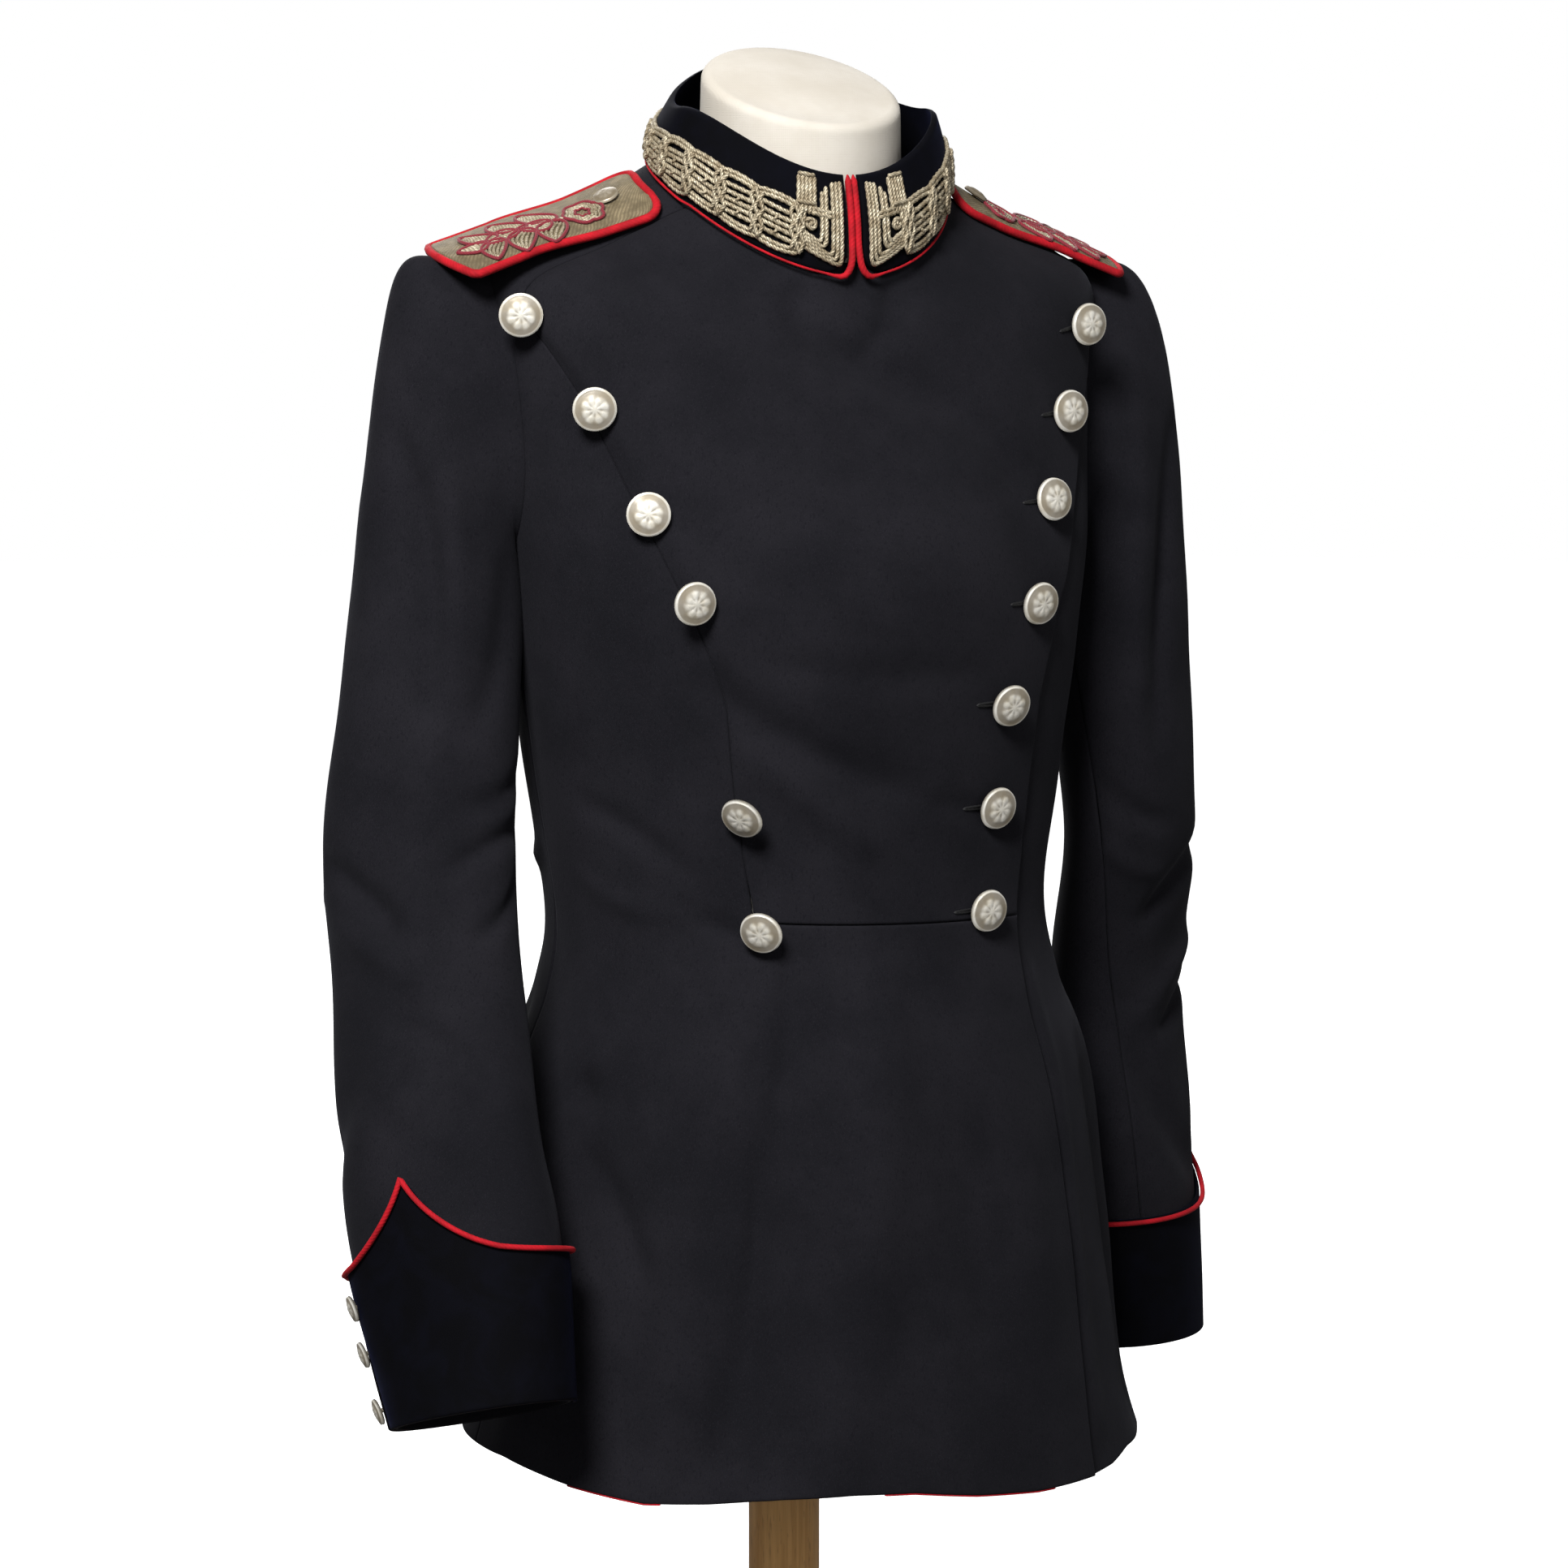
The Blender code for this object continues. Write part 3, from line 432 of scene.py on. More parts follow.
def fold_depth(folds, scale, angle, height):
    """Depth outward of all folds at each place, soft troughs and ridges about bent lines."""
    x = angle * scale
    total = np.zeros(np.broadcast(x, height).shape)
    for start_angle, start_height, end_angle, end_height, half_width, depth, bend in (
        np.array(folds) * FOLD_UNITS
    ):
        start_x = start_angle * scale
        run, rise = end_angle * scale - start_x, end_height - start_height
        length = math.hypot(run, rise)
        run, rise = run / length, rise / length
        reach = ((x - start_x) * run + (height - start_height) * rise) / length
        share = np.clip(reach, 0.0, 1.0)
        aside = (height - start_height) * run - (x - start_x) * rise - 4 * bend * share * (1 - share)
        past = (reach - share) * length
        taper = 0.45 + 0.55 * np.sqrt(np.sin(math.pi * share).clip(0.0))
        total += depth * taper * np.exp(-(aside**2 + past**2) / half_width**2)
    return total


def wander(x, y):
    """Slow unevenness of the cloth."""
    total = 0.0
    for across, up, phase, depth in WANDER:
        total = total + depth * np.sin(2 * math.pi * (across * x + up * y) + phase)
    return total


def bare_point(angle, level):
    """Inner face of the body's cloth without its folds."""
    front_h, side_h, back_h, half, front_y, middle_y, back_y = np.moveaxis(along(TORSO, level), -1, 0)
    sine, cosine = np.sin(radians_of(angle)), np.cos(radians_of(angle))
    end_y = np.where(cosine > 0, front_y, back_y)
    slope, sag = (front_h - back_h) / 2, (front_h + back_h) / 2 - side_h
    tilt = HEM_TILT * (1 - np.minimum(level / WAIST, 1.0)) * sine
    return np.stack([
        half * sine,
        middle_y + (end_y - middle_y) * np.abs(cosine),
        HEM_Z + side_h + slope * cosine + sag * cosine * cosine - tilt,
    ], -1)


def outward(angle, level, step_angle=0.5, step_level=0.02):
    """Unit normal of the body's cloth."""
    across = bare_point(angle + step_angle, level) - bare_point(angle - step_angle, level)
    up = bare_point(angle, level + step_level) - bare_point(angle, level - step_level)
    return unit(np.cross(across, up))


def body_point(angle, level, lift=0.0):
    """Points of the body's cloth, lifted off its inner face."""
    angle, level = np.broadcast_arrays(np.asarray(angle, float), np.asarray(level, float))
    place = bare_point(angle, level)
    height = place[..., 2] - HEM_Z
    depth = fold_depth(FOLDS, ANGLE_METRES, turned(angle), height)
    depth = depth + wander(radians_of(angle) * 0.15, height)
    depth = depth * smooth((NECK - level) / 0.5)
    place[..., 2] -= table(HEM_HANG, turned(angle)) * smooth(1.0 - height / HEM_HANG_HEIGHT)
    return place + outward(angle, level) * (lift + depth)[..., None]


def armhole(level, half_width):
    """Half opening of the armhole in degrees at a level."""
    middle, half = (TIP + ARMPIT) / 2, (TIP - ARMPIT) / 2
    return half_width * np.sqrt(np.clip(1 - ((level - middle) / half) ** 2, 0.0, 1.0))


def side_front(level):
    return 90.0 - armhole(level, ARMHOLE_FRONT)


def side_back(level):
    return 90.0 + armhole(level, ARMHOLE_BACK)


def lapel_seam(level):
    """Angle of the seam that joins the upper front to the wearer's right front."""
    return table(BUTTON_ROWS["r"][::-1], level) - SEAM_OUTSIDE_ROW


def free_edge(level):
    return table(FREE_EDGE, level)


def under_edge(level):
    return lapel_seam(level) + LAPEL_RAMP + 1.5


def waist_rise(angle):
    """How many levels the waist seam lies above the waist's row."""
    share = (angle - lapel_seam(WAIST)) / (free_edge(WAIST) - lapel_seam(WAIST))
    return WAIST_RISE * (1 - 1.3 * share)


def lapel_lift(angle, level):
    return LAYER * smooth((angle - lapel_seam(level)) / LAPEL_RAMP)


def spaced(width, cell=CELL):
    """Places from 0 to 1 across a piece, closer together at both ends."""
    inner = np.linspace(0.0, 1.0, max(3, round(width / cell)) + 1)
    close = np.array(EDGE_STEPS) / width
    inner = inner[(inner > 1.3 * close[-1]) & (inner < 1 - 1.3 * close[-1])]
    return np.concatenate([[0.0], close, inner, 1 - close[::-1], [1.0]])


def spread_between(shares, start, end):
    """A row of columns for each start and end."""
    start, end = np.asarray(start, float)[..., None], np.asarray(end, float)[..., None]
    return start + (end - start) * shares


def body_levels(low=0.0, high=float(NECK)):
    """Levels of the body's rows, even in height and closer along both edges."""
    fine = np.linspace(0.0, NECK, 521)
    length = lengths_along(bare_point(np.full(fine.shape, 45.0), fine))
    first, last = np.interp((low, high), fine, length)
    return np.interp(first + (last - first) * spaced(last - first), length, fine)


def add_hole_rows(levels):
    """Adds rows close to the armhole's top and bottom, where its edge turns."""
    steps = np.array([0.0, 0.006, 0.025, 0.06, 0.11])
    extra = np.concatenate([ARMPIT + steps, TIP - steps])
    extra = extra[(extra > levels[0]) & (extra < levels[-1])]
    return np.unique(np.concatenate([levels, extra]))


def make_mesh(name, vertices, faces, finish, uvs=None):
    """Mesh with smooth faces, and a UV map where one is given."""
    mesh = bpy.data.meshes.new(name)
    mesh.from_pydata(np.asarray(vertices).tolist(), [], [list(face) for face in faces])
    if uvs is not None:
        layer = mesh.uv_layers.new(name="metres")
        corner = np.empty(len(mesh.loops), int)
        mesh.loops.foreach_get("vertex_index", corner)
        layer.data.foreach_set("uv", np.asarray(uvs, np.float32)[corner].ravel())
    mesh.validate()
    mesh.shade_smooth()
    mesh.materials.append(finish)
    return mesh


def link_object(name, data):
    made = bpy.data.objects.new(name, data)
    bpy.context.scene.collection.objects.link(made)
    return made


def place_on_frame(piece, slot, *nodes):
    """The piece rides on the jacket's one body and stands for its solids."""
    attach(piece, "root")
    if nodes:
        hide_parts(*nodes)
    return piece


def grid_edges(rows, columns, keep):
    """Quads of a grid's cells that are kept, and the edges round them."""
    index = np.arange(rows * columns).reshape(rows, columns)
    a, b, c, d = (
        part[keep] for part in (index[:-1, :-1], index[:-1, 1:], index[1:, 1:], index[1:, :-1])
    )
    quads = np.stack([a, b, c, d], 1)
    edges = np.concatenate([quads[:, (k, (k + 1) % 4)] for k in range(4)])
    total = rows * columns
    rim = edges[~np.isin(edges[:, 0] * total + edges[:, 1], edges[:, 1] * total + edges[:, 0])]
    return quads, rim


def edge_distance(points, rim):
    """Distance of each point from the nearest point of the edge."""
    tree = KDTree(len(rim))
    for number, corner in enumerate(rim[:, 0]):
        tree.insert(points[corner], number)
    tree.balance()
    return np.array([tree.find(point)[2] for point in points])


def cloth(node, slot, finish, surface, wall=WALL, keep=None, start=EDGE_START):
    """Closed shell of a node's cloth with rounded edges. surface(lift) gives its grid of points."""
    inner, full = surface(0.0), surface(wall)
    rows, columns = inner.shape[:2]
    if keep is None:
        keep = np.ones((rows - 1, columns - 1), bool)
    quads, rim = grid_edges(rows, columns, keep)
    inner, full = inner.reshape(-1, 3), full.reshape(-1, 3)
    near = np.clip(edge_distance(inner, rim) / EDGE_ROUND, 0.0, 1.0)
    roll = start + (1 - start) * np.sqrt(1 - (1 - near) ** 2)
    outer = inner + (full - inner) * roll[:, None]
    total = rows * columns
    faces = np.concatenate([
        quads + total,
        quads[:, ::-1],
        np.stack([rim[:, 0], rim[:, 1], rim[:, 1] + total, rim[:, 0] + total], 1),
    ])
    used = np.unique(faces)
    moved = np.full(2 * total, -1)
    moved[used] = np.arange(len(used))
    flat = np.stack(np.meshgrid(np.arange(columns), np.arange(rows)), -1).reshape(-1, 2) * CELL
    vertices, uvs = np.concatenate([inner, outer])[used], np.concatenate([flat, flat])[used]
    mesh = make_mesh(node + CLOTH_NAMES[slot], vertices, moved[faces], finish, uvs)
    return place_on_frame(link_object(mesh.name, mesh), slot, node)


def make_fronts(wool):
    levels = add_hole_rows(np.unique(np.concatenate([body_levels(0, WAIST), body_levels(WAIST, NECK)])))
    side = spread_between(spaced(0.15), -side_front(levels), lapel_seam(levels))
    skirt = spread_between(spaced(0.19), lapel_seam(levels), free_edge(levels))[:, 1:]
    angle = np.concatenate([side, skirt], 1)
    seam_column = side.shape[1] - 1
    level = np.repeat(levels[:, None], angle.shape[1], 1)
    over = np.arange(angle.shape[1]) >= seam_column
    raised = waist_rise(angle) * smooth((level - WAIST + WAIST_BLEND) / WAIST_BLEND)
    level = level + np.where(over & (level <= WAIST), raised, 0.0)
    over_lift = np.where(over, lapel_lift(angle, level), 0.0)
    keep = np.ones((len(levels) - 1, angle.shape[1] - 1), bool)
    keep[levels[:-1] >= WAIST, seam_column:] = False
    angle[:, 0] += SEAM_ANGLE
    cloth(
        "right_front", "wool", wool, lambda lift: body_point(angle, level, lift + over_lift), keep=keep
    )

    levels = body_levels(WAIST, NECK)
    angle = spread_between(spaced(0.27), lapel_seam(levels), free_edge(levels))
    level = np.repeat(levels[:, None], angle.shape[1], 1)
    level = level + (waist_rise(angle) + WAIST_SEAM) * (1 - smooth((level - WAIST) / WAIST_BLEND))
    over_lift = lapel_lift(angle, level)
    up = np.zeros((*angle.shape, 3))
    up[..., 2] = NECK_RISE * smooth((15.0 - np.abs(angle)) / 8.0) * smooth((level - NECK + 0.7) / 0.7)
    cloth("right_lapel", "wool", wool, lambda lift: body_point(angle, level, lift + over_lift) + up)

    levels = add_hole_rows(body_levels())
    under = spread_between(spaced(0.30), under_edge(levels), side_front(levels) - SEAM_ANGLE)
    cloth("left_front", "wool", wool, lambda lift: body_point(under, levels[:, None], lift))


def make_backs(wool):
    levels = add_hole_rows(body_levels())
    middle = np.full(levels.shape, 180.0)
    for node, start, end in (
        ("back_left", side_back(levels), middle),
        ("back_right", middle, 360.0 - side_back(levels)),
    ):
        angle = spread_between(spaced(0.25), start + SEAM_ANGLE, end - SEAM_ANGLE)
        cloth(node, "wool", wool, lambda lift: body_point(angle, levels[:, None], lift))


def head_blend(values, around):
    top, side, bottom = values
    cosine = np.cos(radians_of(around))
    return side + np.where(cosine > 0, top - side, bottom - side) * cosine * cosine


def section_point(side, around, place):
    """Points of the sleeve's own sections, from place 0 at the biceps to the wrist."""
    x, y, height, long_half, short_half, tilt = np.moveaxis(along(SLEEVES[side], place), -1, 0)
    turn = radians_of(around - LONG_AXIS)
    far, near = long_half * np.cos(turn), short_half * np.sin(turn)
    axis = math.radians(LONG_AXIS)
    out = far * math.cos(axis) - near * math.sin(axis)
    back = far * math.sin(axis) + near * math.cos(axis)
    rise = -back * np.tan(np.radians(tilt))
    return np.stack([SIDES[side] * (x + out), y + back, HEM_Z + height + rise], -1)


def head_point(side, around):
    """Points of the sleeve's edge, sewn into the armhole's edge."""
    middle, half = (TIP + ARMPIT) / 2, (TIP - ARMPIT) / 2
    turn = radians_of(around)
    level = middle + half * np.cos(turn)
    half_width = np.where(np.sin(turn) < 0, ARMHOLE_FRONT, ARMHOLE_BACK)
    angle = 90.0 + half_width * np.sin(turn)
    return body_point(SIDES[side] * angle, level, WALL - HEAD_SINK)


def bare_sleeve_point(side, around, place):
    around, place = np.broadcast_arrays(np.asarray(around, float), np.asarray(place, float))
    below = section_point(side, around, np.maximum(place - 1.0, 0.0))
    start, end = head_point(side, around), section_point(side, around, np.zeros(place.shape))
    down = unit(end - section_point(side, around, np.full(place.shape, 0.25)))
    reach = np.zeros(start.shape)
    reach[..., 0] = SIDES[side] * head_blend(HEAD_REACH[side], around)
    before = end + down * head_blend(HEAD_DROP[side], around)[..., None]
    f = np.clip(place, 0.0, 1.0)[..., None]
    head = (
        start * (1 - f) ** 3
        + (start + reach) * 3 * f * (1 - f) ** 2
        + before * 3 * f * f * (1 - f)
        + end * f**3
    )
    return np.where((place < 1.0)[..., None], head, below)


def sleeve_point(side, around, place, lift=0.0):
    """Points of a sleeve's cloth, lifted off its inner face."""
    last = len(SLEEVES[side])
    around, place = np.broadcast_arrays(np.asarray(around, float), np.clip(place, 0.0, last))
    point = bare_sleeve_point(side, around, place)
    ahead = bare_sleeve_point(side, around + 1.0, place) - bare_sleeve_point(side, around - 1.0, place)
    low = np.clip(place + 0.02, 0.04, last)
    down = bare_sleeve_point(side, around, low) - bare_sleeve_point(side, around, low - 0.04)
    normal = unit(np.cross(down, ahead)) * SIDES[side]
    drop = HEM_Z + TORSO[TIP][1] - point[..., 2]
    depth = fold_depth(SLEEVE_FOLDS[side], ROUND_METRES, turned(around), drop)
    depth = depth + wander(radians_of(around) * 0.05 + 0.3 * SIDES[side], drop)
    depth = depth * smooth((place - 0.08) / 0.16)
    return point + normal * (lift + depth)[..., None]


def place_above_wrist(side, distance):
    rows = SLEEVES[side]
    lengths = np.linalg.norm(np.diff(rows[:, :3], axis=0), axis=1)
    from_wrist = np.concatenate([[0.0], np.cumsum(lengths[::-1])])
    return len(rows) - np.interp(distance, from_wrist, np.arange(len(rows)))


def twist(side, place):
    """How far the sleeve's seams have turned toward the back, in degrees."""
    return WRIST_TWIST[side] * smooth(place / len(SLEEVES[side]))


def cuff_top(around):
    away = np.abs(turned(around - CUFF_PEAK_ROUND))
    return CUFF_HEIGHT + CUFF_PEAK * np.exp(-away / CUFF_PEAK_SPREAD)


def cuff_point(side, around, distance, lift):
    """Points over the sleeve's end, a distance up from the wrist."""
    place = place_above_wrist(side, distance)
    return sleeve_point(side, around + twist(side, place), place, lift)


def ring_quads(index, closed=False):
    """Quads between neighbouring rows of points, each row closed round."""
    low, high = (index, np.roll(index, -1, 0)) if closed else (index[:-1], index[1:])
    corners = [high, np.roll(high, -1, 1), np.roll(low, -1, 1), low]
    return np.stack(corners, -1).reshape(-1, 4)


def make_sleeves(wool):
    for side, sign in SIDES.items():
        head = np.linspace(0.0, 1.0, 49)[2:] ** 1.15
        arm = 1.0 + spaced(0.42)[4:] * (len(SLEEVES[side]) - 1)
        place = np.concatenate([[0.0, 0.003, 0.008, 0.016], head, arm])[::-1, None]
        for node, first, last in (
            ("sleeve_under_", HIND_SEAM + SLEEVE_SEAM, 360.0 + FORE_SEAM - SLEEVE_SEAM),
            ("sleeve_top_", FORE_SEAM + SLEEVE_SEAM, HIND_SEAM - SLEEVE_SEAM),
        ):
            around = (first + (last - first) * spaced(0.15))[::sign] + twist(side, place)
            cloth(node + side, "wool", wool, lambda lift: sleeve_point(side, around, place, lift))


def cord_rings(points, normals, radius, sides=8, strands=0, turn=1.0, taper=True):
    """Rings of a cord that lies along points, with a twist of strands where it has them."""
    points = np.asarray(points, float)
    forward = unit(np.gradient(points, axis=0))
    aside = unit(np.cross(forward, normals))
    above = np.cross(aside, forward)
    length = lengths_along(points)
    phi = np.arange(sides) * 2 * math.pi / sides
    radius = np.broadcast_to(np.asarray(radius, float), (len(points),))
    size = np.repeat(radius[:, None], sides, 1)
    if strands:
        wave = np.cos(strands * phi[None, :] - 2 * math.pi * length[:, None] / turn)
        size = size * (1 + STRAND_DEPTH * wave)
    if taper:
        left = np.minimum(length, length[-1] - length) / (1.2 * radius)
        size = size * (0.25 + 0.75 * np.sqrt(1 - (1 - np.clip(left, 0, 1)) ** 2))[:, None]
    rings = (
        points[:, None]
        + aside[:, None] * (size * np.cos(phi))[..., None]
        + above[:, None] * (size * np.sin(phi))[..., None]
    )
    uvs = np.stack(np.broadcast_arrays(length[:, None], phi[None, :] * radius[:, None]), -1)
    return rings, uvs


def cord_piece(name, slot, finish, cords, *nodes, closed=False):
    """One piece of many cords, each given as its rings and its UV map."""
    vertices, faces, maps = [], [], []
    start = 0
    for rings, uvs in cords:
        rows, sides = rings.shape[:2]
        index = start + np.arange(rows * sides).reshape(rows, sides)
        faces += ring_quads(index, closed).tolist()
        if not closed:
            faces += [index[0].tolist(), index[-1][::-1].tolist()]
        vertices.append(rings.reshape(-1, 3))
        maps.append(uvs.reshape(-1, 2))
        start += rows * sides
    mesh = make_mesh(name, np.concatenate(vertices), faces, finish, np.concatenate(maps))
    return place_on_frame(link_object(name, mesh), slot, *nodes)


def make_cuffs(velvet, red):
    lift = WALL + CLEAR
    share = spaced(0.10)[:, None]
    for side, sign in SIDES.items():
        around = (HIND_SEAM + SLEEVE_SEAM + spaced(0.30) * (360.0 - 2 * SLEEVE_SEAM))[::sign]
        cloth(
            "cuff_" + side, "velvet", velvet,
            lambda more: cuff_point(side, around, share * cuff_top(around), lift + more),
        )
        turn = np.linspace(HIND_SEAM, HIND_SEAM + 360.0, 220, endpoint=False)
        turn = np.sort(np.append(turn, 360.0 + CUFF_PEAK_ROUND))
        up = cuff_top(turn) - CUFF_PIPING
        line = cuff_point(side, turn, up, lift + WALL + GAP + CUFF_PIPING)
        normal = unit(line - cuff_point(side, turn, up, 0.0))
        rings = cord_rings(line, normal, CUFF_PIPING, 10, taper=False)
        node = "cuff_piping_" + side
        cord_piece(node + "_cord", "red_cloth", red, [rings], node, closed=True)


def collar_lift(angle):
    """The neckline is thicker where both fronts lie under the collar."""
    away = turned(angle)
    share = np.where(away > 0, (84.0 - away) / 6.0, (away + 72.0) / 6.0)
    return WALL + COLLAR_CLEAR + LAYER * np.clip(share, 0.0, 1.0)


def collar_point(angle, height, lift=0.0):
    """Inner face of the collar, from height 0 at the neck seam to 1 at the rim."""
    angle, height = np.broadcast_arrays(np.asarray(angle, float), np.asarray(height, float))
    neck = np.full(angle.shape, float(NECK))
    base = bare_point(angle, neck) + outward(angle, neck) * collar_lift(angle)[..., None]
    sine, cosine = np.sin(radians_of(angle)), np.cos(radians_of(angle))
    front_h, side_h, back_h = RIM_HEIGHTS
    end_h = np.where(cosine > 0, front_h, back_h)
    end_y = np.where(cosine > 0, RIM_FRONT_Y, RIM_BACK_Y)
    rim = np.stack([
        RIM_HALF_WIDTH * sine,
        RIM_MIDDLE_Y + (end_y - RIM_MIDDLE_Y) * np.abs(cosine),
        HEM_Z + side_h + (end_h - side_h) * cosine * cosine,
    ], -1)
    out = np.stack([sine, -cosine, np.zeros(angle.shape)], -1)
    bulge = COLLAR_BULGE * np.sin(math.pi * height)
    return base + (rim - base) * height[..., None] + out * (lift + bulge)[..., None]


def make_collar(velvet, red):
    angle = COLLAR_FRONT + spaced(0.44, 0.003) * (360.0 - 2 * COLLAR_FRONT)
    low = table(COLLAR_CORNER, np.abs(turned(angle)))
    height = low + (1.0 - low) * spaced(0.05, 0.003)[:, None]
    cloth(
        "collar", "velvet", velvet, lambda lift: collar_point(angle, height, lift), COLLAR_WALL,
        start=0.2,
    )
    foot = COLLAR_WALL + FOOT_PIPING + GAP
    # Angle, share of the collar's height and lift of the piping, down the edge and round the foot
    route = [(COLLAR_EDGE, share, COLLAR_WALL / 2) for share in np.linspace(1.0, 0.3, 12)]
    route += [
        (COLLAR_EDGE + 0.1, 0.24, COLLAR_WALL * 0.8),
        (COLLAR_EDGE + 0.2, 0.17, COLLAR_WALL),
        (COLLAR_EDGE + 0.7, 0.10, COLLAR_WALL + 0.0004),
        (COLLAR_EDGE + 1.6, 0.04, COLLAR_WALL + 0.0008),
        (4.4, 0.000, COLLAR_WALL + 0.0010),
        (6.0, -0.025, foot),
        (8.5, -0.010, foot),
    ]
    route += [(along_foot, 0.0, foot) for along_foot in np.linspace(12.0, 177.5, 84)]
    away, up, lift = np.array(route).T
    radius = COLLAR_PIPING + (FOOT_PIPING - COLLAR_PIPING) * smooth((away - 3.0) / 8.0)
    for side, sign in SIDES.items():
        line = smoothed(collar_point(sign * away, up, lift))
        turn = np.radians(sign * away)
        normal = np.stack([np.sin(turn), -np.cos(turn), np.zeros(len(turn))], 1)
        node = "collar_piping_" + side
        cord_piece(node + "_cord", "red_cloth", red, [cord_rings(line, normal, radius, 10)], node)


def smoothed(points):
    """Each inner point a little toward its neighbours."""
    points = np.array(points)
    points[1:-1] = (points[:-2] + 2 * points[1:-1] + points[2:]) / 4
    return points


class CollarCords:
    """Couched cords on one half of the collar."""

    def __init__(self, side):
        self.sign = SIDES[side]
        self.angles = np.linspace(COLLAR_FRONT, 180.0, 120)
        self.length = lengths_along(collar_point(self.sign * self.angles, 0.45, COLLAR_WALL))
        self.end = float(np.interp(EMBROIDERY_END, self.angles, self.length))
        self.cords = []

    def angle(self, s):
        return self.sign * np.interp(s, self.length, self.angles)

    def tall(self, s):
        """Height of the collar in metres."""
        angle = self.angle(s)
        return np.linalg.norm(collar_point(angle, 1.0) - collar_point(angle, 0.0), axis=-1)

    def rise(self, s):
        """Share of the collar's height that a cord takes up."""
        return CORD_PITCH / float(self.tall(s))

    def lay(self, path, radius=CORD, lift=0.8):
        """Adds a cord through (distance along, share of height) pairs."""
        path = np.asarray(path, float)
        scale = np.stack([np.ones(len(path)), self.tall(path[:, 0])], 1)
        steps = np.linalg.norm(np.diff(path, axis=0) * scale[1:], axis=1)
        length = np.concatenate([[0.0], np.cumsum(steps)])
        fine = np.linspace(0.0, length[-1], max(4, round(length[-1] / CORD_STEP)))
        s, h = (np.interp(fine, length, path[:, k]) for k in (0, 1))
        angle = self.angle(s)
        points = smoothed(smoothed(collar_point(angle, h, COLLAR_WALL + radius * lift)))
        normal = unit(points - collar_point(angle, h, 0.0))
        points, normal = points[::self.sign], normal[::self.sign]
        self.cords.append(cord_rings(points, normal, radius, 8, 2, STRAND_TURN))


def lay_block(work):
    """Stepped block at the collar's front edge: bent cords, upright ones, ties and an eye."""
    start, end = BLOCK
    low, high = BLOCK_HEIGHTS
    pitch, rise = CORD_PITCH, work.rise(start)
    for ring in range(3):
        s, h = start + ring * pitch, low + ring * rise
        work.lay([
            (s, high - 0.01 * ring), (s, h + 0.05), (s + 0.0012, h), (s + 0.0040, h + 0.01),
            (end + 0.0010, h + 0.135),
        ])
    for ring in range(2):
        s, h = start + (3.7 + ring) * pitch, low + (3.5 + ring) * rise
        work.lay([(s, 0.86 - 0.06 * ring), (s, h + 0.06), (s + 0.0016, h), (end, h + 0.09)])
    inner = start + 6.6 * pitch
    for column in range(5):
        s = inner + column * pitch
        work.lay([(s, high - 0.004 * column), (s, 0.60), (s + 0.0008, 0.54)], lift=0.9)
    for ring in range(2):
        h = 0.60 - ring * rise
        work.lay([(start + 2 * pitch, h), (inner + 0.002, h + 0.012)], lift=1.0)
        s = inner + (2.4 + ring) * pitch
        work.lay([(s, 0.60), (s + 0.0006, 0.44), (s + 0.0004, 0.30), (s - 0.001, 0.235)], lift=0.9)
    for h, fall, lift in ((high + 0.008, 0.020, 1.6), (0.66, 0.02, 1.9)):
        work.lay([(inner - 0.0005, h), (inner + 4.4 * pitch, h - fall)], lift=lift)
    turn = np.linspace(0.0, 2 * math.pi, 18)
    for radius in (0.0026, 0.0009):
        across, up = radius * np.cos(turn), radius * rise / pitch * np.sin(turn)
        work.lay(np.stack([inner + 0.0020 + across, 0.455 + up], 1), lift=1.1)


def lay_band(work):
    """Band of parallel cords in arched units, tied across where two units meet."""
    count = round((work.end - BAND_START) / UNIT)
    width = (work.end - BAND_START) / count
    share = np.linspace(0.0, 1.0, 17)
    swell = np.sin(math.pi * share) ** 0.7
    for number in range(count):
        left = BAND_START + number * width
        rise = work.rise(left + width / 2)
        uneven = math.sin(2.3 * number + 0.6)
        run = left - 0.0010 + (width + 0.0020) * share
        for ring in range(2):
            bottom = BAND_LOW - ring * rise - (0.030 + 0.008 * uneven) * swell
            top = BAND_HIGH + ring * rise + (0.030 + 0.012 * uneven) * swell
            for edge in (bottom + 0.018, top - 0.030):
                work.lay(np.stack([run, edge], 1), lift=0.9)
        slant = 0.016 * (-1) ** number
        for line, height in enumerate(BAND_LINES):
            bow = 0.006 * math.sin(1.7 * line + number)
            work.lay(np.stack([run, height + slant * (2 * share - 1) + bow * swell], 1), lift=0.9)
        lean = 0.0010 * uneven
        for part, lift in ((-1, 2.4), (0, 2.7), (1, 2.4)):
            s = left + part * 2.1 * CORD
            sway = 0.0012 * (1 - 2 * (part % 2))
            over = 0.035 - 0.02 * abs(part)
            sways = (lean + sway, -sway, sway, -sway, sway, -lean - sway)
            heights = (BAND_HIGH + over, 0.50, 0.42, 0.33, 0.25, BAND_LOW - over)
            work.lay([(s + aside, h) for aside, h in zip(sways, heights)], CORD * 0.9, lift)
        middle = left + width * (0.5 + 0.06 * uneven)
        for line in (0, 2):
            h = BAND_LINES[line] + 0.5 * (BAND_LINES[1] - BAND_LINES[0])
            work.lay([(middle - 0.0016, h + 0.035), (middle + 0.0010, h - 0.035)], CORD * 0.8, 2.2)


def embroider(side, lace):
    work = CollarCords(side)
    lay_block(work)
    lay_band(work)
    node = "collar_embroidery_" + side
    cord_piece(node + "_cords", "metal_lace", lace, work.cords, node)


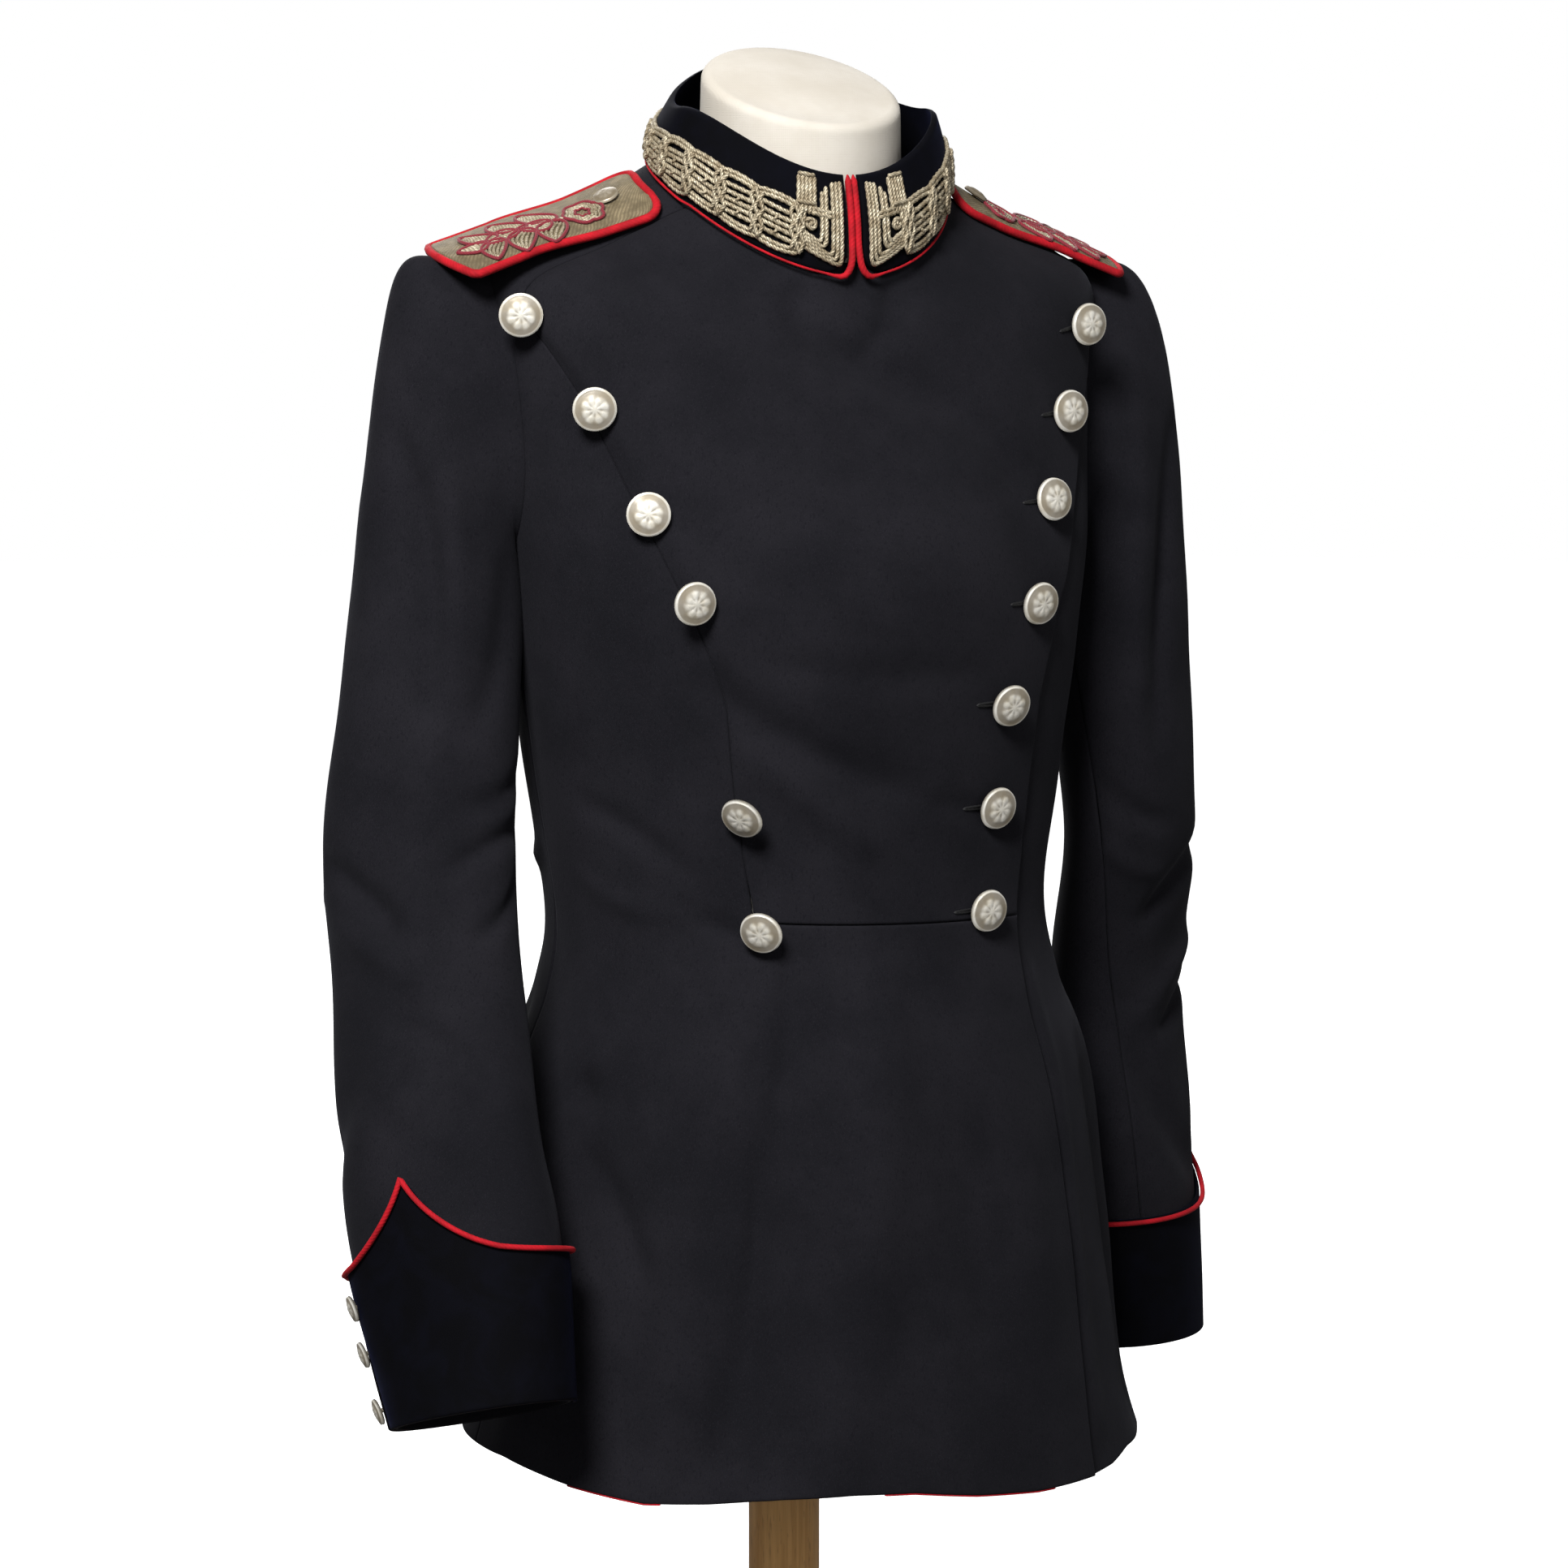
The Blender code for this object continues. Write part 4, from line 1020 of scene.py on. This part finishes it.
def shoulder_point(angle, level, lift):
    """Points over the shoulder, carried straight on past the shoulder tip."""
    straight = np.full(np.shape(level), TIP + 0.25)
    here = body_point(angle, np.maximum(level, straight), lift)
    edge = body_point(angle, straight, lift)
    slope = (edge - body_point(angle, straight + 0.25, lift)) / 0.25
    return here + slope * np.maximum(straight - level, 0.0)[..., None]


def board_point(side, out, back, lift=0.0):
    """Points of a shoulder board, metres out from its inner end and back from its middle."""
    out, back = np.broadcast_arrays(np.asarray(out, float), np.asarray(back, float))
    share = out / BOARD_LENGTH
    level = BOARD_INNER + (BOARD_OUTER - BOARD_INNER) * share
    ring = along(TORSO, np.clip(level, TIP + 0.25, NECK))
    half_depth = (ring[..., 6] - ring[..., 4]) / 2
    if side == "l":
        base = np.full(out.shape, WALL + LAYER + CLEAR + GAP)
    else:
        base = WALL + 2 * CLEAR + LAYER * np.clip(1.4 * share, 0.0, 1.0)
    base = base + BOARD_RISE[side] * np.maximum(0.0, share) ** 2
    angle = 90.0 + np.degrees(back / half_depth)
    return shoulder_point(SIDES[side] * angle, level, base + lift)


def board_half(out, extra=0.0):
    radius = BOARD_CORNER + extra
    inside = np.maximum(0.0, radius - (out + extra))
    return BOARD_HALF + extra - radius + np.sqrt(np.maximum(0.0, radius * radius - inside * inside))


def board_cord(side, path, radius, lift, closed=False, strands=0):
    """Rings of a cord on a board through (out, back) pairs."""
    path = np.asarray(path, float)
    if closed:
        path = np.concatenate([path, path[:1]])
    length = lengths_along(path)
    fine = np.linspace(0.0, length[-1], max(5, round(length[-1] / BOARD_CORD_STEP)))
    if closed:
        fine = fine[:-1]
    out, back = (np.interp(fine, length, path[:, k]) for k in (0, 1))
    points = board_point(side, out, back, lift)
    normal = unit(points - board_point(side, out, back, lift - 0.002))
    points, normal = points[::SIDES[side]], normal[::SIDES[side]]
    return cord_rings(points, normal, radius, 8, strands, STRAND_TURN, taper=not closed)


def leaf_outline(leaf, count=13):
    """Points round a pointed leaf, and its middle line."""
    out, back, heading, length, half = leaf
    share = np.linspace(0.0, 1.0, count)
    wide = half * np.sin(math.pi * share**0.8) ** 0.75
    heading = math.radians(heading)
    forward = np.array((math.cos(heading), math.sin(heading)))
    aside = np.array((-forward[1], forward[0]))
    curl = 0.10 * length * np.sin(math.pi * share) * np.sign(heading)
    middle = np.array((out, back)) + share[:, None] * length * forward - curl[:, None] * aside
    left, right = middle + wide[:, None] * aside, middle - wide[:, None] * aside
    return left, middle, right


def rosette_outline(extra=0.0, count=64):
    turn = np.linspace(0.0, 2 * math.pi, count, endpoint=False)
    radius = ROSETTE[1] * (0.86 + 0.14 * np.abs(np.cos(3 * turn))) + extra
    return np.stack([ROSETTE[0] + radius * np.cos(turn), ROSETTE[2] + radius * np.sin(turn)], 1)


def lathe(profile, sides):
    """Rings about the vertical axis, from (radius, height) pairs."""
    turn = np.arange(sides) * 2 * math.pi / sides
    return np.array([
        np.stack([radius * np.cos(turn), radius * np.sin(turn), np.full(sides, height)], -1)
        for radius, height in profile
    ])


def make_boards(board_lace, lace, red, maroon):
    top = BOARD_WALL + 0.0004
    raised = top + 0.0006
    outs = (spaced(BOARD_LENGTH, 0.0015) * BOARD_LENGTH)[::-1, None]
    away = BOARD_PIPING * 0.7
    end = BOARD_LENGTH + away
    bend = np.linspace(0.0, BOARD_CORNER, 9) - away
    run = np.concatenate([bend, np.linspace(BOARD_CORNER, BOARD_LENGTH, 12)])
    inner = [(out, -board_half(out, away)) for out in run]
    border = [*inner, (end, -BOARD_HALF), (end, BOARD_HALF)]
    border += [(out, -back) for out, back in reversed(inner)]
    for side, sign in SIDES.items():
        back = (spaced(2 * BOARD_HALF, 0.0015) * 2 - 1) * sign * board_half(outs)
        cloth(
            "board_" + side, "metal_lace", board_lace,
            lambda lift: board_point(side, outs, back, lift), BOARD_WALL,
        )
        rings = board_cord(side, border, BOARD_PIPING, BOARD_WALL / 2, closed=True)
        node = "board_piping_" + side
        cord_piece(node + "_cord", "red_cloth", red, [rings], node, closed=True)

        outlines, fills = [], []
        for leaf in LEAVES:
            left, middle, right = leaf_outline(leaf)
            edge = np.concatenate([left, right[::-1][1:-1]])
            outlines.append(board_cord(side, edge, OUTLINE_CORD, raised, closed=True))
            for share in (-0.70, -0.35, 0.0, 0.35, 0.70):
                line = middle + share * (left - right) / 2
                fills.append(board_cord(side, line[1:-1], FILL_CORD, top, strands=2))
        outlines.append(board_cord(side, rosette_outline(), OUTLINE_CORD, raised, closed=True))
        eye = rosette_outline(-0.0068)
        outlines.append(board_cord(side, eye, EYE_CORD, top + 0.0004, closed=True))
        for shrink in (-0.0018, -0.0036, -0.0052):
            petals = rosette_outline(shrink)
            fills.append(board_cord(side, petals, FILL_CORD, top, closed=True, strands=2))
        fills.append(board_cord(side, STEM, FILL_CORD, top + 0.0004, strands=2))
        cord_piece("board_outline_" + side, "red_cloth", maroon, outlines, closed=True)
        cord_piece("board_spray_" + side, "metal_lace", lace, fills)


def button_mesh(name, radius, depth, stand, finish):
    """Domed button with a rolled rim, a raised rosette, a flat back and its shank."""
    share = np.linspace(0.0, 1.0, 22)[1:, None]
    turn = np.arange(BUTTON_SIDES) * 2 * math.pi / BUTTON_SIDES
    dome = depth * (0.30 + 0.62 * np.sqrt(1 - 0.88 * share**2))
    petal = 0.30 + 0.70 * np.abs(np.cos(BUTTON_PETALS / 2 * turn + 0.5 * share))
    flower = np.clip(1 - np.abs(share - 0.40) / 0.28, 0.0, 1.0) ** 0.6 * petal
    bead = np.exp(-((share - 0.06) / 0.12) ** 2)
    rim = np.exp(-((share - 0.95) / 0.045) ** 2)
    x, y = share * np.cos(turn), share * np.sin(turn)
    worn = np.sin(8.0 * x + 3.0 * y) * np.sin(6.0 * y - 5.0 * x + 1.0) * (1 - share**4)
    raised = radius * (0.040 * flower + 0.034 * bead + 0.040 * rim + 0.008 * worn)
    fall = depth * 0.30 * np.clip((share - 0.93) / 0.07, 0.0, 1.0) ** 2
    front = np.stack([radius * x, radius * y, stand + dome - fall + raised], -1)
    back = lathe([(radius * wide, stand + depth * up) for wide, up in BUTTON_BACK], BUTTON_SIDES)
    foot = back[-1:] * (1.0, 1.0, 0.0) + (0.0, 0.0, SHANK_CLEAR)
    shells = np.concatenate([front, back, foot])
    proud = np.zeros(shells.shape[:2])
    proud[:len(front)] = np.clip(raised / (radius * 0.034), 0.0, 1.0)
    index = 1 + np.arange(proud.size).reshape(proud.shape)
    faces = [(0, int(a), int(b)) for a, b in zip(index[0], np.roll(index[0], -1))]
    faces += [*ring_quads(index).tolist(), index[-1][::-1].tolist()]
    crown = (0.0, 0.0, front[0, :, 2].mean())
    vertices = np.concatenate([[crown], shells.reshape(-1, 3)])
    height = np.concatenate([[1.0], proud.ravel()])
    return make_mesh(name, vertices, faces, finish, np.stack([height, height], 1))


def set_button(name, mesh, seat, normal, lean=(0.0, 0.0), turn=0.0):
    """Places a button on its seat, its top to the sky, hanging over by its lean."""
    out = Vector(normal).normalized()
    right = Vector((0.0, 0.0, 1.0)).cross(out).normalized()
    above = out.cross(right)
    down, left = (math.radians(angle) for angle in lean)
    tip = Matrix.Rotation(down, 3, right) @ Matrix.Rotation(left, 3, above)
    axes = Matrix((right, above, out)).transposed()
    spin = tip @ axes @ Matrix.Rotation(turn, 3, "Z")
    over = math.radians(math.hypot(*lean))
    clear = max(0.0, BUTTON_RADIUS * math.sin(over) - BUTTON_STAND + LEAN_CLEAR)
    made = link_object(name + "_domed", mesh)
    made.matrix_world = Matrix.Translation(Vector(seat) + out * clear) @ spin.to_4x4()
    return place_on_frame(made, "silver", name)


def make_buttons(silver, dull):
    large = button_mesh("large_button", BUTTON_RADIUS, BUTTON_DEPTH, BUTTON_STAND, silver)
    small = button_mesh("small_button", SMALL_RADIUS, SMALL_DEPTH, SMALL_STAND, silver)
    board = button_mesh("board_button", SMALL_RADIUS, SMALL_DEPTH, SMALL_STAND, dull)
    for side, sign in SIDES.items():
        for number, (level, angle, down, aside) in enumerate(BUTTON_ROWS[side], 1):
            if side == "r" and number == MISSING_BUTTON:
                continue
            seat = body_point(angle, level, LAYER + WALL + TOUCH)
            lean, turn = (down, -sign * aside), 0.7 * number + sign
            set_button(f"button_{side}_{number}", large, seat, outward(angle, level), lean, turn)
        for number, up in enumerate(reversed(CUFF_BUTTON_UP), 1):
            around = HIND_SEAM - CUFF_BUTTON_ROUND
            seat = cuff_point(side, around, up, 2 * WALL + CLEAR + TOUCH)
            normal = seat - cuff_point(side, around, up, 0.0)
            set_button(f"cuff_button_{side}_{number}", small, seat, normal, CUFF_BUTTON_LEAN, number)
        seat = board_point(side, BOARD_BUTTON, -0.003, BOARD_WALL - 0.0010)
        set_button("board_button_" + side, board, seat, outward(sign * 90.0, TIP + 1.2))


def make_buttonholes(thread):
    """Worked buttonholes in the free edge, each with its button at the outer end."""
    cords = []
    share = np.linspace(0.0, 1.0, 26)
    bow = 0.010 * np.sqrt(np.sin(math.pi * share).clip(0.0))
    for level, button, *_ in BUTTON_ROWS["l"]:
        degree = float(np.linalg.norm(body_point(button - 1.0, level) - body_point(button, level)))
        angle = button + 2.0 - share * (BUTTONHOLE / degree + 2.0)
        for places in (level - bow, level + bow):
            line = body_point(angle, places, LAYER + WALL + TOUCH)
            cords.append(cord_rings(line, outward(angle, places), THREAD, 6, 2, 0.0018))
    cord_piece("buttonholes", "wool", thread, cords)


def make_hem_thread(red):
    """Two runs of a fine red thread in the hem's edge."""
    cords = []
    for start, end in HEM_THREADS:
        angle = np.linspace(start, end, 90)
        level = np.zeros(angle.shape)
        line = body_point(angle, level, lapel_lift(angle, level) + WALL / 2)
        line[:, 2] -= HEM_THREAD / 2
        cords.append(cord_rings(line, outward(angle, level), HEM_THREAD, 6))
    cord_piece("hem_thread", "red_cloth", red, cords)


def make_form(canvas):
    turn = np.arange(FORM_COLUMNS) * 360.0 / FORM_COLUMNS
    levels = np.concatenate([np.linspace(FORM_BOTTOM, 11.0, 60), np.linspace(11.0, 12.8, 22)[1:]])
    angle, level = np.broadcast_arrays(turn, levels[:, None])
    body = bare_point(angle, level) - outward(angle, level) * table(INSET, level)[..., None]
    body[0, :, 2] = FORM_BOTTOM_Z
    rows = along(NECK_RINGS, np.linspace(0.0, len(NECK_RINGS) - 1.0, 24))
    rings = [neck_ring(row, turn) for row in rows]
    for step in np.linspace(0.0, math.pi / 2, 8)[1:]:
        inward, up = NECK_EDGE * (1 - math.cos(step)), NECK_EDGE * math.sin(step)
        rings.append(neck_ring(rows[-1] + (up, up, -inward, inward, -inward), turn))
    edge = rings[-1]
    for share in (0.8, 0.55, 0.3, 0.1):
        ring = edge.mean(0) + (edge - edge.mean(0)) * share
        ring[:, 2] += NECK_DOME * (1 - share * share)
        rings.append(ring)
    shells = np.concatenate([body, rings])
    ring_piece("dress_form_canvas", shells, canvas, "canvas", "dress_form", inward=True)


def neck_ring(row, turn):
    """Ring of the form's neck, higher behind."""
    front_h, back_h, half, front_y, back_y = row
    middle_y, depth = (front_y + back_y) / 2, (back_y - front_y) / 2
    angle = np.radians(turn)
    y = middle_y - depth * np.cos(angle)
    height = front_h + (back_h - front_h) * (y - front_y) / (back_y - front_y)
    return np.stack([half * np.sin(angle), y, HEM_Z + height], -1)


def ring_piece(name, rings, finish, slot, node, inward=False):
    """Closed piece of rings from the top down, or from the bottom up where inward is set."""
    index = np.arange(rings[..., 0].size).reshape(rings.shape[:2])
    quads = ring_quads(index)
    first, last = index[0], index[-1][::-1]
    if inward:
        quads, first, last = quads[:, ::-1], first[::-1], last[::-1]
    faces = [*quads.tolist(), first.tolist(), last.tolist()]
    made = link_object(name, make_mesh(name, rings.reshape(-1, 3), faces, finish))
    return place_on_frame(made, slot, node)


def round_edge(radius, height, size):
    """Points of a quarter round at the upper edge of a turned piece."""
    steps = np.linspace(0.0, math.pi / 2, 6)
    return [(radius - size * (1 - math.sin(a)), height - size * (1 - math.cos(a))) for a in steps]


def make_stand(beech):
    post = [(POST_RADIUS, FORM_BOTTOM_Z - GAP), (POST_RADIUS, BASE_HEIGHT + GAP)]
    base = round_edge(BASE_RADIUS, BASE_HEIGHT, BASE_ROUND)
    under = round_edge(BASE_RADIUS, 0.0, BASE_UNDER_ROUND)
    base += [(radius, -height) for radius, height in reversed(under)]
    for node, profile, sides in (("stand_post", post, 64), ("stand_base", base, 128)):
        made = ring_piece(node + "_wood", lathe(profile, sides), beech, "beech", node)
        made.data.set_sharp_from_angle(angle=math.radians(40))


class Finish:
    """Material of a Principled shader with procedural nodes."""

    def __init__(self, name, roughness, base, metallic=0.0, specular=0.5, sheen=(0.0, 0.5), tint=None):
        self.material = bpy.data.materials.new(name)
        self.material.use_nodes = True
        self.tree = self.material.node_tree
        self.shader = self.tree.nodes["Principled BSDF"]
        self.base = (*base, 1.0)
        for socket, value in (
            ("Base Color", self.base), ("Roughness", roughness), ("Metallic", metallic),
            ("Specular IOR Level", specular), ("Sheen Weight", sheen[0]), ("Sheen Roughness", sheen[1]),
            ("Sheen Tint", (*(tint or (1.0, 1.0, 1.0)), 1.0)),
        ):
            self.shader.inputs[socket].default_value = value
        coordinates = self.tree.nodes.new("ShaderNodeTexCoord")
        self.place = coordinates.outputs["Object"]
        self.map = coordinates.outputs["UV"]
        self.relief = None

    def feed(self, socket, value):
        if isinstance(value, bpy.types.NodeSocket):
            self.tree.links.new(value, socket)
        else:
            socket.default_value = value

    def node(self, kind, **inputs):
        made = self.tree.nodes.new(kind)
        for name, value in inputs.items():
            self.feed(made.inputs[name.replace("_", " ")], value)
        return made

    def stretched(self, vector, *scale):
        return self.node("ShaderNodeMapping", Vector=vector, Scale=scale).outputs["Vector"]

    def noise(self, scale, detail=3.0, roughness=0.5, distortion=0.0, rise=1.0):
        """Noise in the object's place, longer along the vertical where rise is below one."""
        vector = self.place if rise == 1.0 else self.stretched(self.place, 1.0, 1.0, rise)
        return self.node(
            "ShaderNodeTexNoise", Vector=vector, Scale=scale, Detail=detail,
            Roughness=roughness, Distortion=distortion,
        ).outputs["Fac"]

    def waves(self, vector, scale, direction="X", distortion=0.0):
        made = self.node("ShaderNodeTexWave", Vector=vector, Scale=scale, Distortion=distortion)
        made.bands_direction = direction
        return made.outputs["Fac"]

    def between(self, value, *limits):
        """Smooth step of a value from low to high, and from start to end where they are given."""
        made = self.node("ShaderNodeMapRange")
        made.interpolation_type = "SMOOTHSTEP"
        for socket, fed in zip(made.inputs, (value, *limits)):
            self.feed(socket, fed)
        return made.outputs["Result"]

    def product(self, first, second):
        made = self.node("ShaderNodeMath")
        made.operation = "MULTIPLY"
        self.feed(made.inputs[0], first)
        self.feed(made.inputs[1], second)
        return made.outputs[0]

    def paint(self, colour, value, *limits):
        """Lays a colour over the ones before it, by the value itself or where it lies in limits."""
        made = self.node("ShaderNodeMix")
        made.data_type = "RGBA"
        share = self.between(value, *limits) if limits else value
        for number, fed in ((0, share), (6, self.base), (7, (*colour, 1.0))):
            self.feed(made.inputs[number], fed)
        self.base = made.outputs[2]
        self.feed(self.shader.inputs["Base Color"], self.base)

    def rough(self, value, *limits):
        self.feed(self.shader.inputs["Roughness"], self.between(value, *limits))

    def bump(self, value, strength, distance):
        """Adds a layer of relief over the ones before it."""
        made = self.node("ShaderNodeBump", Height=value, Strength=strength, Distance=distance)
        if self.relief is not None:
            self.feed(made.inputs["Normal"], self.relief)
        self.relief = made.outputs["Normal"]
        self.feed(self.shader.inputs["Normal"], self.relief)


def wool_finish():
    """Felted blue-black wool: fine fibres, a short nap that runs down and faint worn patches."""
    wool = Finish(
        "felted_wool", 0.93, (0.0064, 0.0063, 0.0084), specular=0.10, sheen=(0.04, 0.40),
        tint=(0.55, 0.56, 0.66),
    )
    patches = wool.noise(10.0, 5.0, 0.62)
    fibres = wool.noise(2300.0, 4.0, 0.7, rise=0.45)
    flecks = wool.noise(900.0, 2.0, 0.6, rise=0.5)
    wool.paint((0.0120, 0.0114, 0.0146), patches, 0.32, 0.70)
    wool.paint((0.030, 0.028, 0.036), fibres, 0.52, 0.74, 0.0, 0.45)
    wool.paint((0.004, 0.0038, 0.006), flecks, 0.30, 0.46, 0.5, 0.0)
    wool.bump(flecks, 0.35, 0.00035)
    wool.bump(fibres, 0.45, 0.00022)
    return wool.material


def velvet_finish():
    """Near-black navy velvet, lighter in patches where its pile lies away from the light: a painted
    sheen.
    """
    velvet = Finish(
        "navy_velvet", 0.85, (0.0005, 0.0005, 0.0013), specular=0.08, sheen=(0.09, 0.30),
        tint=(0.10, 0.12, 0.34),
    )
    pile_lie_and_sheen = velvet.noise(42.0, 4.0, 0.6, 0.6)
    # Painted sheen: patches of the pile are painted a lighter blue in the base colour.
    velvet.paint((0.0011, 0.0012, 0.0034), pile_lie_and_sheen, 0.35, 0.70)
    velvet.bump(pile_lie_and_sheen, 0.12, 0.0010)
    velvet.bump(velvet.noise(2600.0, 3.0, 0.7), 0.50, 0.00025)
    return velvet.material


def red_finish():
    """Bright red cloth cord with a fine slanting weave."""
    red = Finish(
        "red_cloth", 0.80, (0.31, 0.0025, 0.008), specular=0.25, sheen=(0.05, 0.5),
        tint=(1.0, 0.30, 0.32),
    )
    slant = red.waves(red.stretched(red.map, 1.0, 0.7, 1.0), 260.0, "DIAGONAL")
    red.paint((0.50, 0.0040, 0.013), red.noise(90.0, 4.0, 0.6), 0.32, 0.70)
    red.paint((0.19, 0.002, 0.006), slant, 0.0, 1.0, 0.18, 0.0)
    red.bump(slant, 0.35, 0.00025)
    red.bump(red.noise(1800.0, 2.0), 0.30, 0.0002)
    return red.material


def maroon_finish():
    maroon = Finish("maroon_cord", 0.75, (0.11, 0.003, 0.010), sheen=(0.15, 0.5))
    strands = maroon.waves(maroon.map, 420.0, "DIAGONAL")
    maroon.paint((0.26, 0.005, 0.020), strands)
    maroon.bump(strands, 0.5, 0.0002)
    return maroon.material


def couched_finish():
    """Tarnished metal thread wound round a core: fine coils, darker in the hollows between them with
    tarnish and painted shade, and small specks of painted glint.
    """
    lace = Finish("couched_cord", 0.5, (0.30, 0.235, 0.145), 0.35)
    coils = lace.waves(lace.map, 300.0, "DIAGONAL")
    tarnish = lace.noise(170.0, 5.0, 0.65)
    glint_specks = lace.noise(620.0, 3.0, 0.6)
    lace.paint((0.66, 0.58, 0.42), tarnish, 0.34, 0.68)
    # Tarnish and painted shade: the hollows between the coils are painted darker.
    lace.paint((0.105, 0.08225, 0.05075), coils, 0.15, 0.85, 0.55, 0.0)
    # Painted glints: small specks painted a bright pale gold.
    lace.paint((0.891, 0.783, 0.567), glint_specks, 0.60, 0.74, 0.0, 0.6)
    lace.rough(tarnish, 0.3, 0.7, 0.62, 0.40)
    lace.bump(coils, 0.75, 0.00030)
    lace.bump(glint_specks, 0.30, 0.00020)
    return lace.material


def board_finish():
    """Woven metal lace of the shoulder boards: a fine zigzag of ribs with flat tarnish."""
    woven = Finish("woven_lace", 0.68, (0.165, 0.128, 0.068), 0.15)
    zigzag = woven.waves(woven.map, 110.0, "DIAGONAL")
    weave = woven.product(woven.waves(woven.map, 330.0, "Y"), woven.waves(woven.map, 330.0, "X"))
    woven.paint((0.35, 0.280, 0.160), woven.noise(120.0, 5.0, 0.65), 0.34, 0.68)
    woven.paint((0.13, 0.095, 0.05), zigzag, 0.3, 0.7, 0.0, 0.60)
    woven.paint((0.06, 0.045, 0.025), weave, 0.05, 0.5, 0.35, 0.0)
    woven.bump(zigzag, 0.35, 0.0003)
    woven.bump(weave, 0.60, 0.0003)
    return woven.material


def silver_finish(name, dull, bright):
    """Old white metal: polished on what stands proud, grey and brown in the hollows."""
    silver = Finish(name, 0.36, dull, 0.40)
    tarnish = silver.noise(130.0, 3.0, 0.55)
    proud = silver.node("ShaderNodeSeparateXYZ", Vector=silver.map).outputs["X"]
    silver.paint(bright, tarnish, 0.30, 0.66)
    silver.paint((0.20, 0.155, 0.095), proud, 0.0, 0.90, 0.75, 0.0)
    silver.rough(tarnish, 0.3, 0.7, 0.58, 0.34)
    silver.bump(silver.noise(900.0, 3.0, 0.7, rise=5.0), 0.10, 0.0002)
    silver.bump(tarnish, 0.15, 0.0004)
    return silver.material


def canvas_finish():
    """Cream cotton canvas with its plain weave and a little soiling."""
    canvas = Finish("cream_canvas", 0.90, (0.54, 0.495, 0.425), specular=0.2, sheen=(0.08, 0.5))
    weave = canvas.product(
        canvas.waves(canvas.place, 330.0, "X", 0.6), canvas.waves(canvas.place, 330.0, "Z", 0.6)
    )
    slubs = canvas.noise(160.0, 3.0, 0.6, rise=8.0)
    canvas.paint((0.61, 0.570, 0.505), canvas.noise(22.0, 5.0, 0.6), 0.35, 0.75)
    canvas.paint((0.44, 0.38, 0.30), slubs, 0.60, 0.78, 0.0, 0.25)
    canvas.bump(weave, 0.25, 0.0003)
    canvas.bump(slubs, 0.15, 0.0004)
    return canvas.material


def beech_finish():
    """Pale turned beech with long grain and short dark flecks."""
    beech = Finish("pale_beech", 0.48, (0.56, 0.31, 0.10))
    grain = beech.noise(190.0, 4.0, 0.6, 0.4, rise=0.045)
    beech.paint((0.74, 0.46, 0.18), grain, 0.32, 0.70)
    beech.paint((0.33, 0.17, 0.065), beech.noise(700.0, 2.0, rise=0.12), 0.60, 0.70, 0.0, 0.45)
    beech.bump(grain, 0.12, 0.0004)
    return beech.material


def thread_finish():
    # Near-black, darker than the wool: the buttonholes' thread, painted also as the shade of their
    # slits.
    thread = Finish("thread_with_slit_shade", 0.7, (0.0010, 0.0010, 0.0014))
    thread.paint((0.0035, 0.0032, 0.0042), thread.waves(thread.map, 700.0, "DIAGONAL"))
    return thread.material


def make_camera():
    camera = link_object("camera", bpy.data.cameras.new("camera"))
    camera.data.lens = CAMERA_LENS
    camera.data.sensor_width = 36.0
    azimuth = math.radians(CAMERA_AZIMUTH)
    camera.location = (
        CAMERA_DISTANCE * math.sin(azimuth), -CAMERA_DISTANCE * math.cos(azimuth), CAMERA_HEIGHT
    )
    camera.rotation_euler = (math.radians(90.0 + CAMERA_PITCH), 0.0, azimuth)
    bpy.context.scene.camera = camera


def make_studio():
    """Wide pale floor under a white dome, large soft lights and a pale world."""
    dome = [
        (DOME_RADIUS * math.cos(a), DOME_RADIUS * math.sin(a) - 0.01) for a in np.linspace(0, 1.55, 14)
    ]
    floor = [(radius, -0.0002) for radius in (0.0001, 1.5, DOME_RADIUS)]
    for name, profile, own, glow in (("floor", floor, 0.92, 0.86), ("backdrop", dome, 0.0, 1.0)):
        pale = Finish("pale_" + name, 0.9, (own, own, own), specular=0.0)
        pale.shader.inputs["Emission Color"].default_value = (1.0, 1.0, 1.0, 1.0)
        pale.shader.inputs["Emission Strength"].default_value = glow
        rings = lathe(profile, DOME_SIDES).reshape(-1, 3)
        quads = ring_quads(np.arange(len(rings)).reshape(-1, DOME_SIDES))[:, ::-1]
        piece = link_object(name, make_mesh(name, rings, quads, pale.material))
        piece.visible_diffuse = False
        piece.visible_glossy = False
        piece.visible_shadow = name == "floor"
    for name, (place, target, size, power) in LIGHTS.items():
        lamp = link_object(name, bpy.data.lights.new(name, "AREA"))
        lamp.data.shape = "DISK"
        lamp.data.size = size
        lamp.data.energy = power
        lamp.location = place
        lamp.rotation_euler = (Vector(target) - Vector(place)).to_track_quat("-Z", "Y").to_euler()
    world = bpy.data.worlds.new("studio")
    world.use_nodes = True
    ground = world.node_tree.nodes["Background"]
    ground.inputs["Color"].default_value = (1.0, 1.0, 1.0, 1.0)
    ground.inputs["Strength"].default_value = 0.20
    bpy.context.scene.world = world
    bpy.context.scene.view_settings.view_transform = "Standard"


def main():
    make_camera()
    wool, velvet, red, lace = wool_finish(), velvet_finish(), red_finish(), couched_finish()
    make_fronts(wool)
    make_backs(wool)
    make_sleeves(wool)
    make_cuffs(velvet, red)
    make_collar(velvet, red)
    for side in SIDES:
        embroider(side, lace)
    make_boards(board_finish(), lace, red, maroon_finish())
    silver = silver_finish("old_silver", (0.68, 0.63, 0.52), (0.95, 0.92, 0.84))
    make_buttons(silver, silver_finish("dull_silver", (0.24, 0.20, 0.14), (0.38, 0.33, 0.25)))
    make_buttonholes(thread_finish())
    make_hem_thread(red)
    make_form(canvas_finish())
    make_stand(beech_finish())
    make_studio()


main()
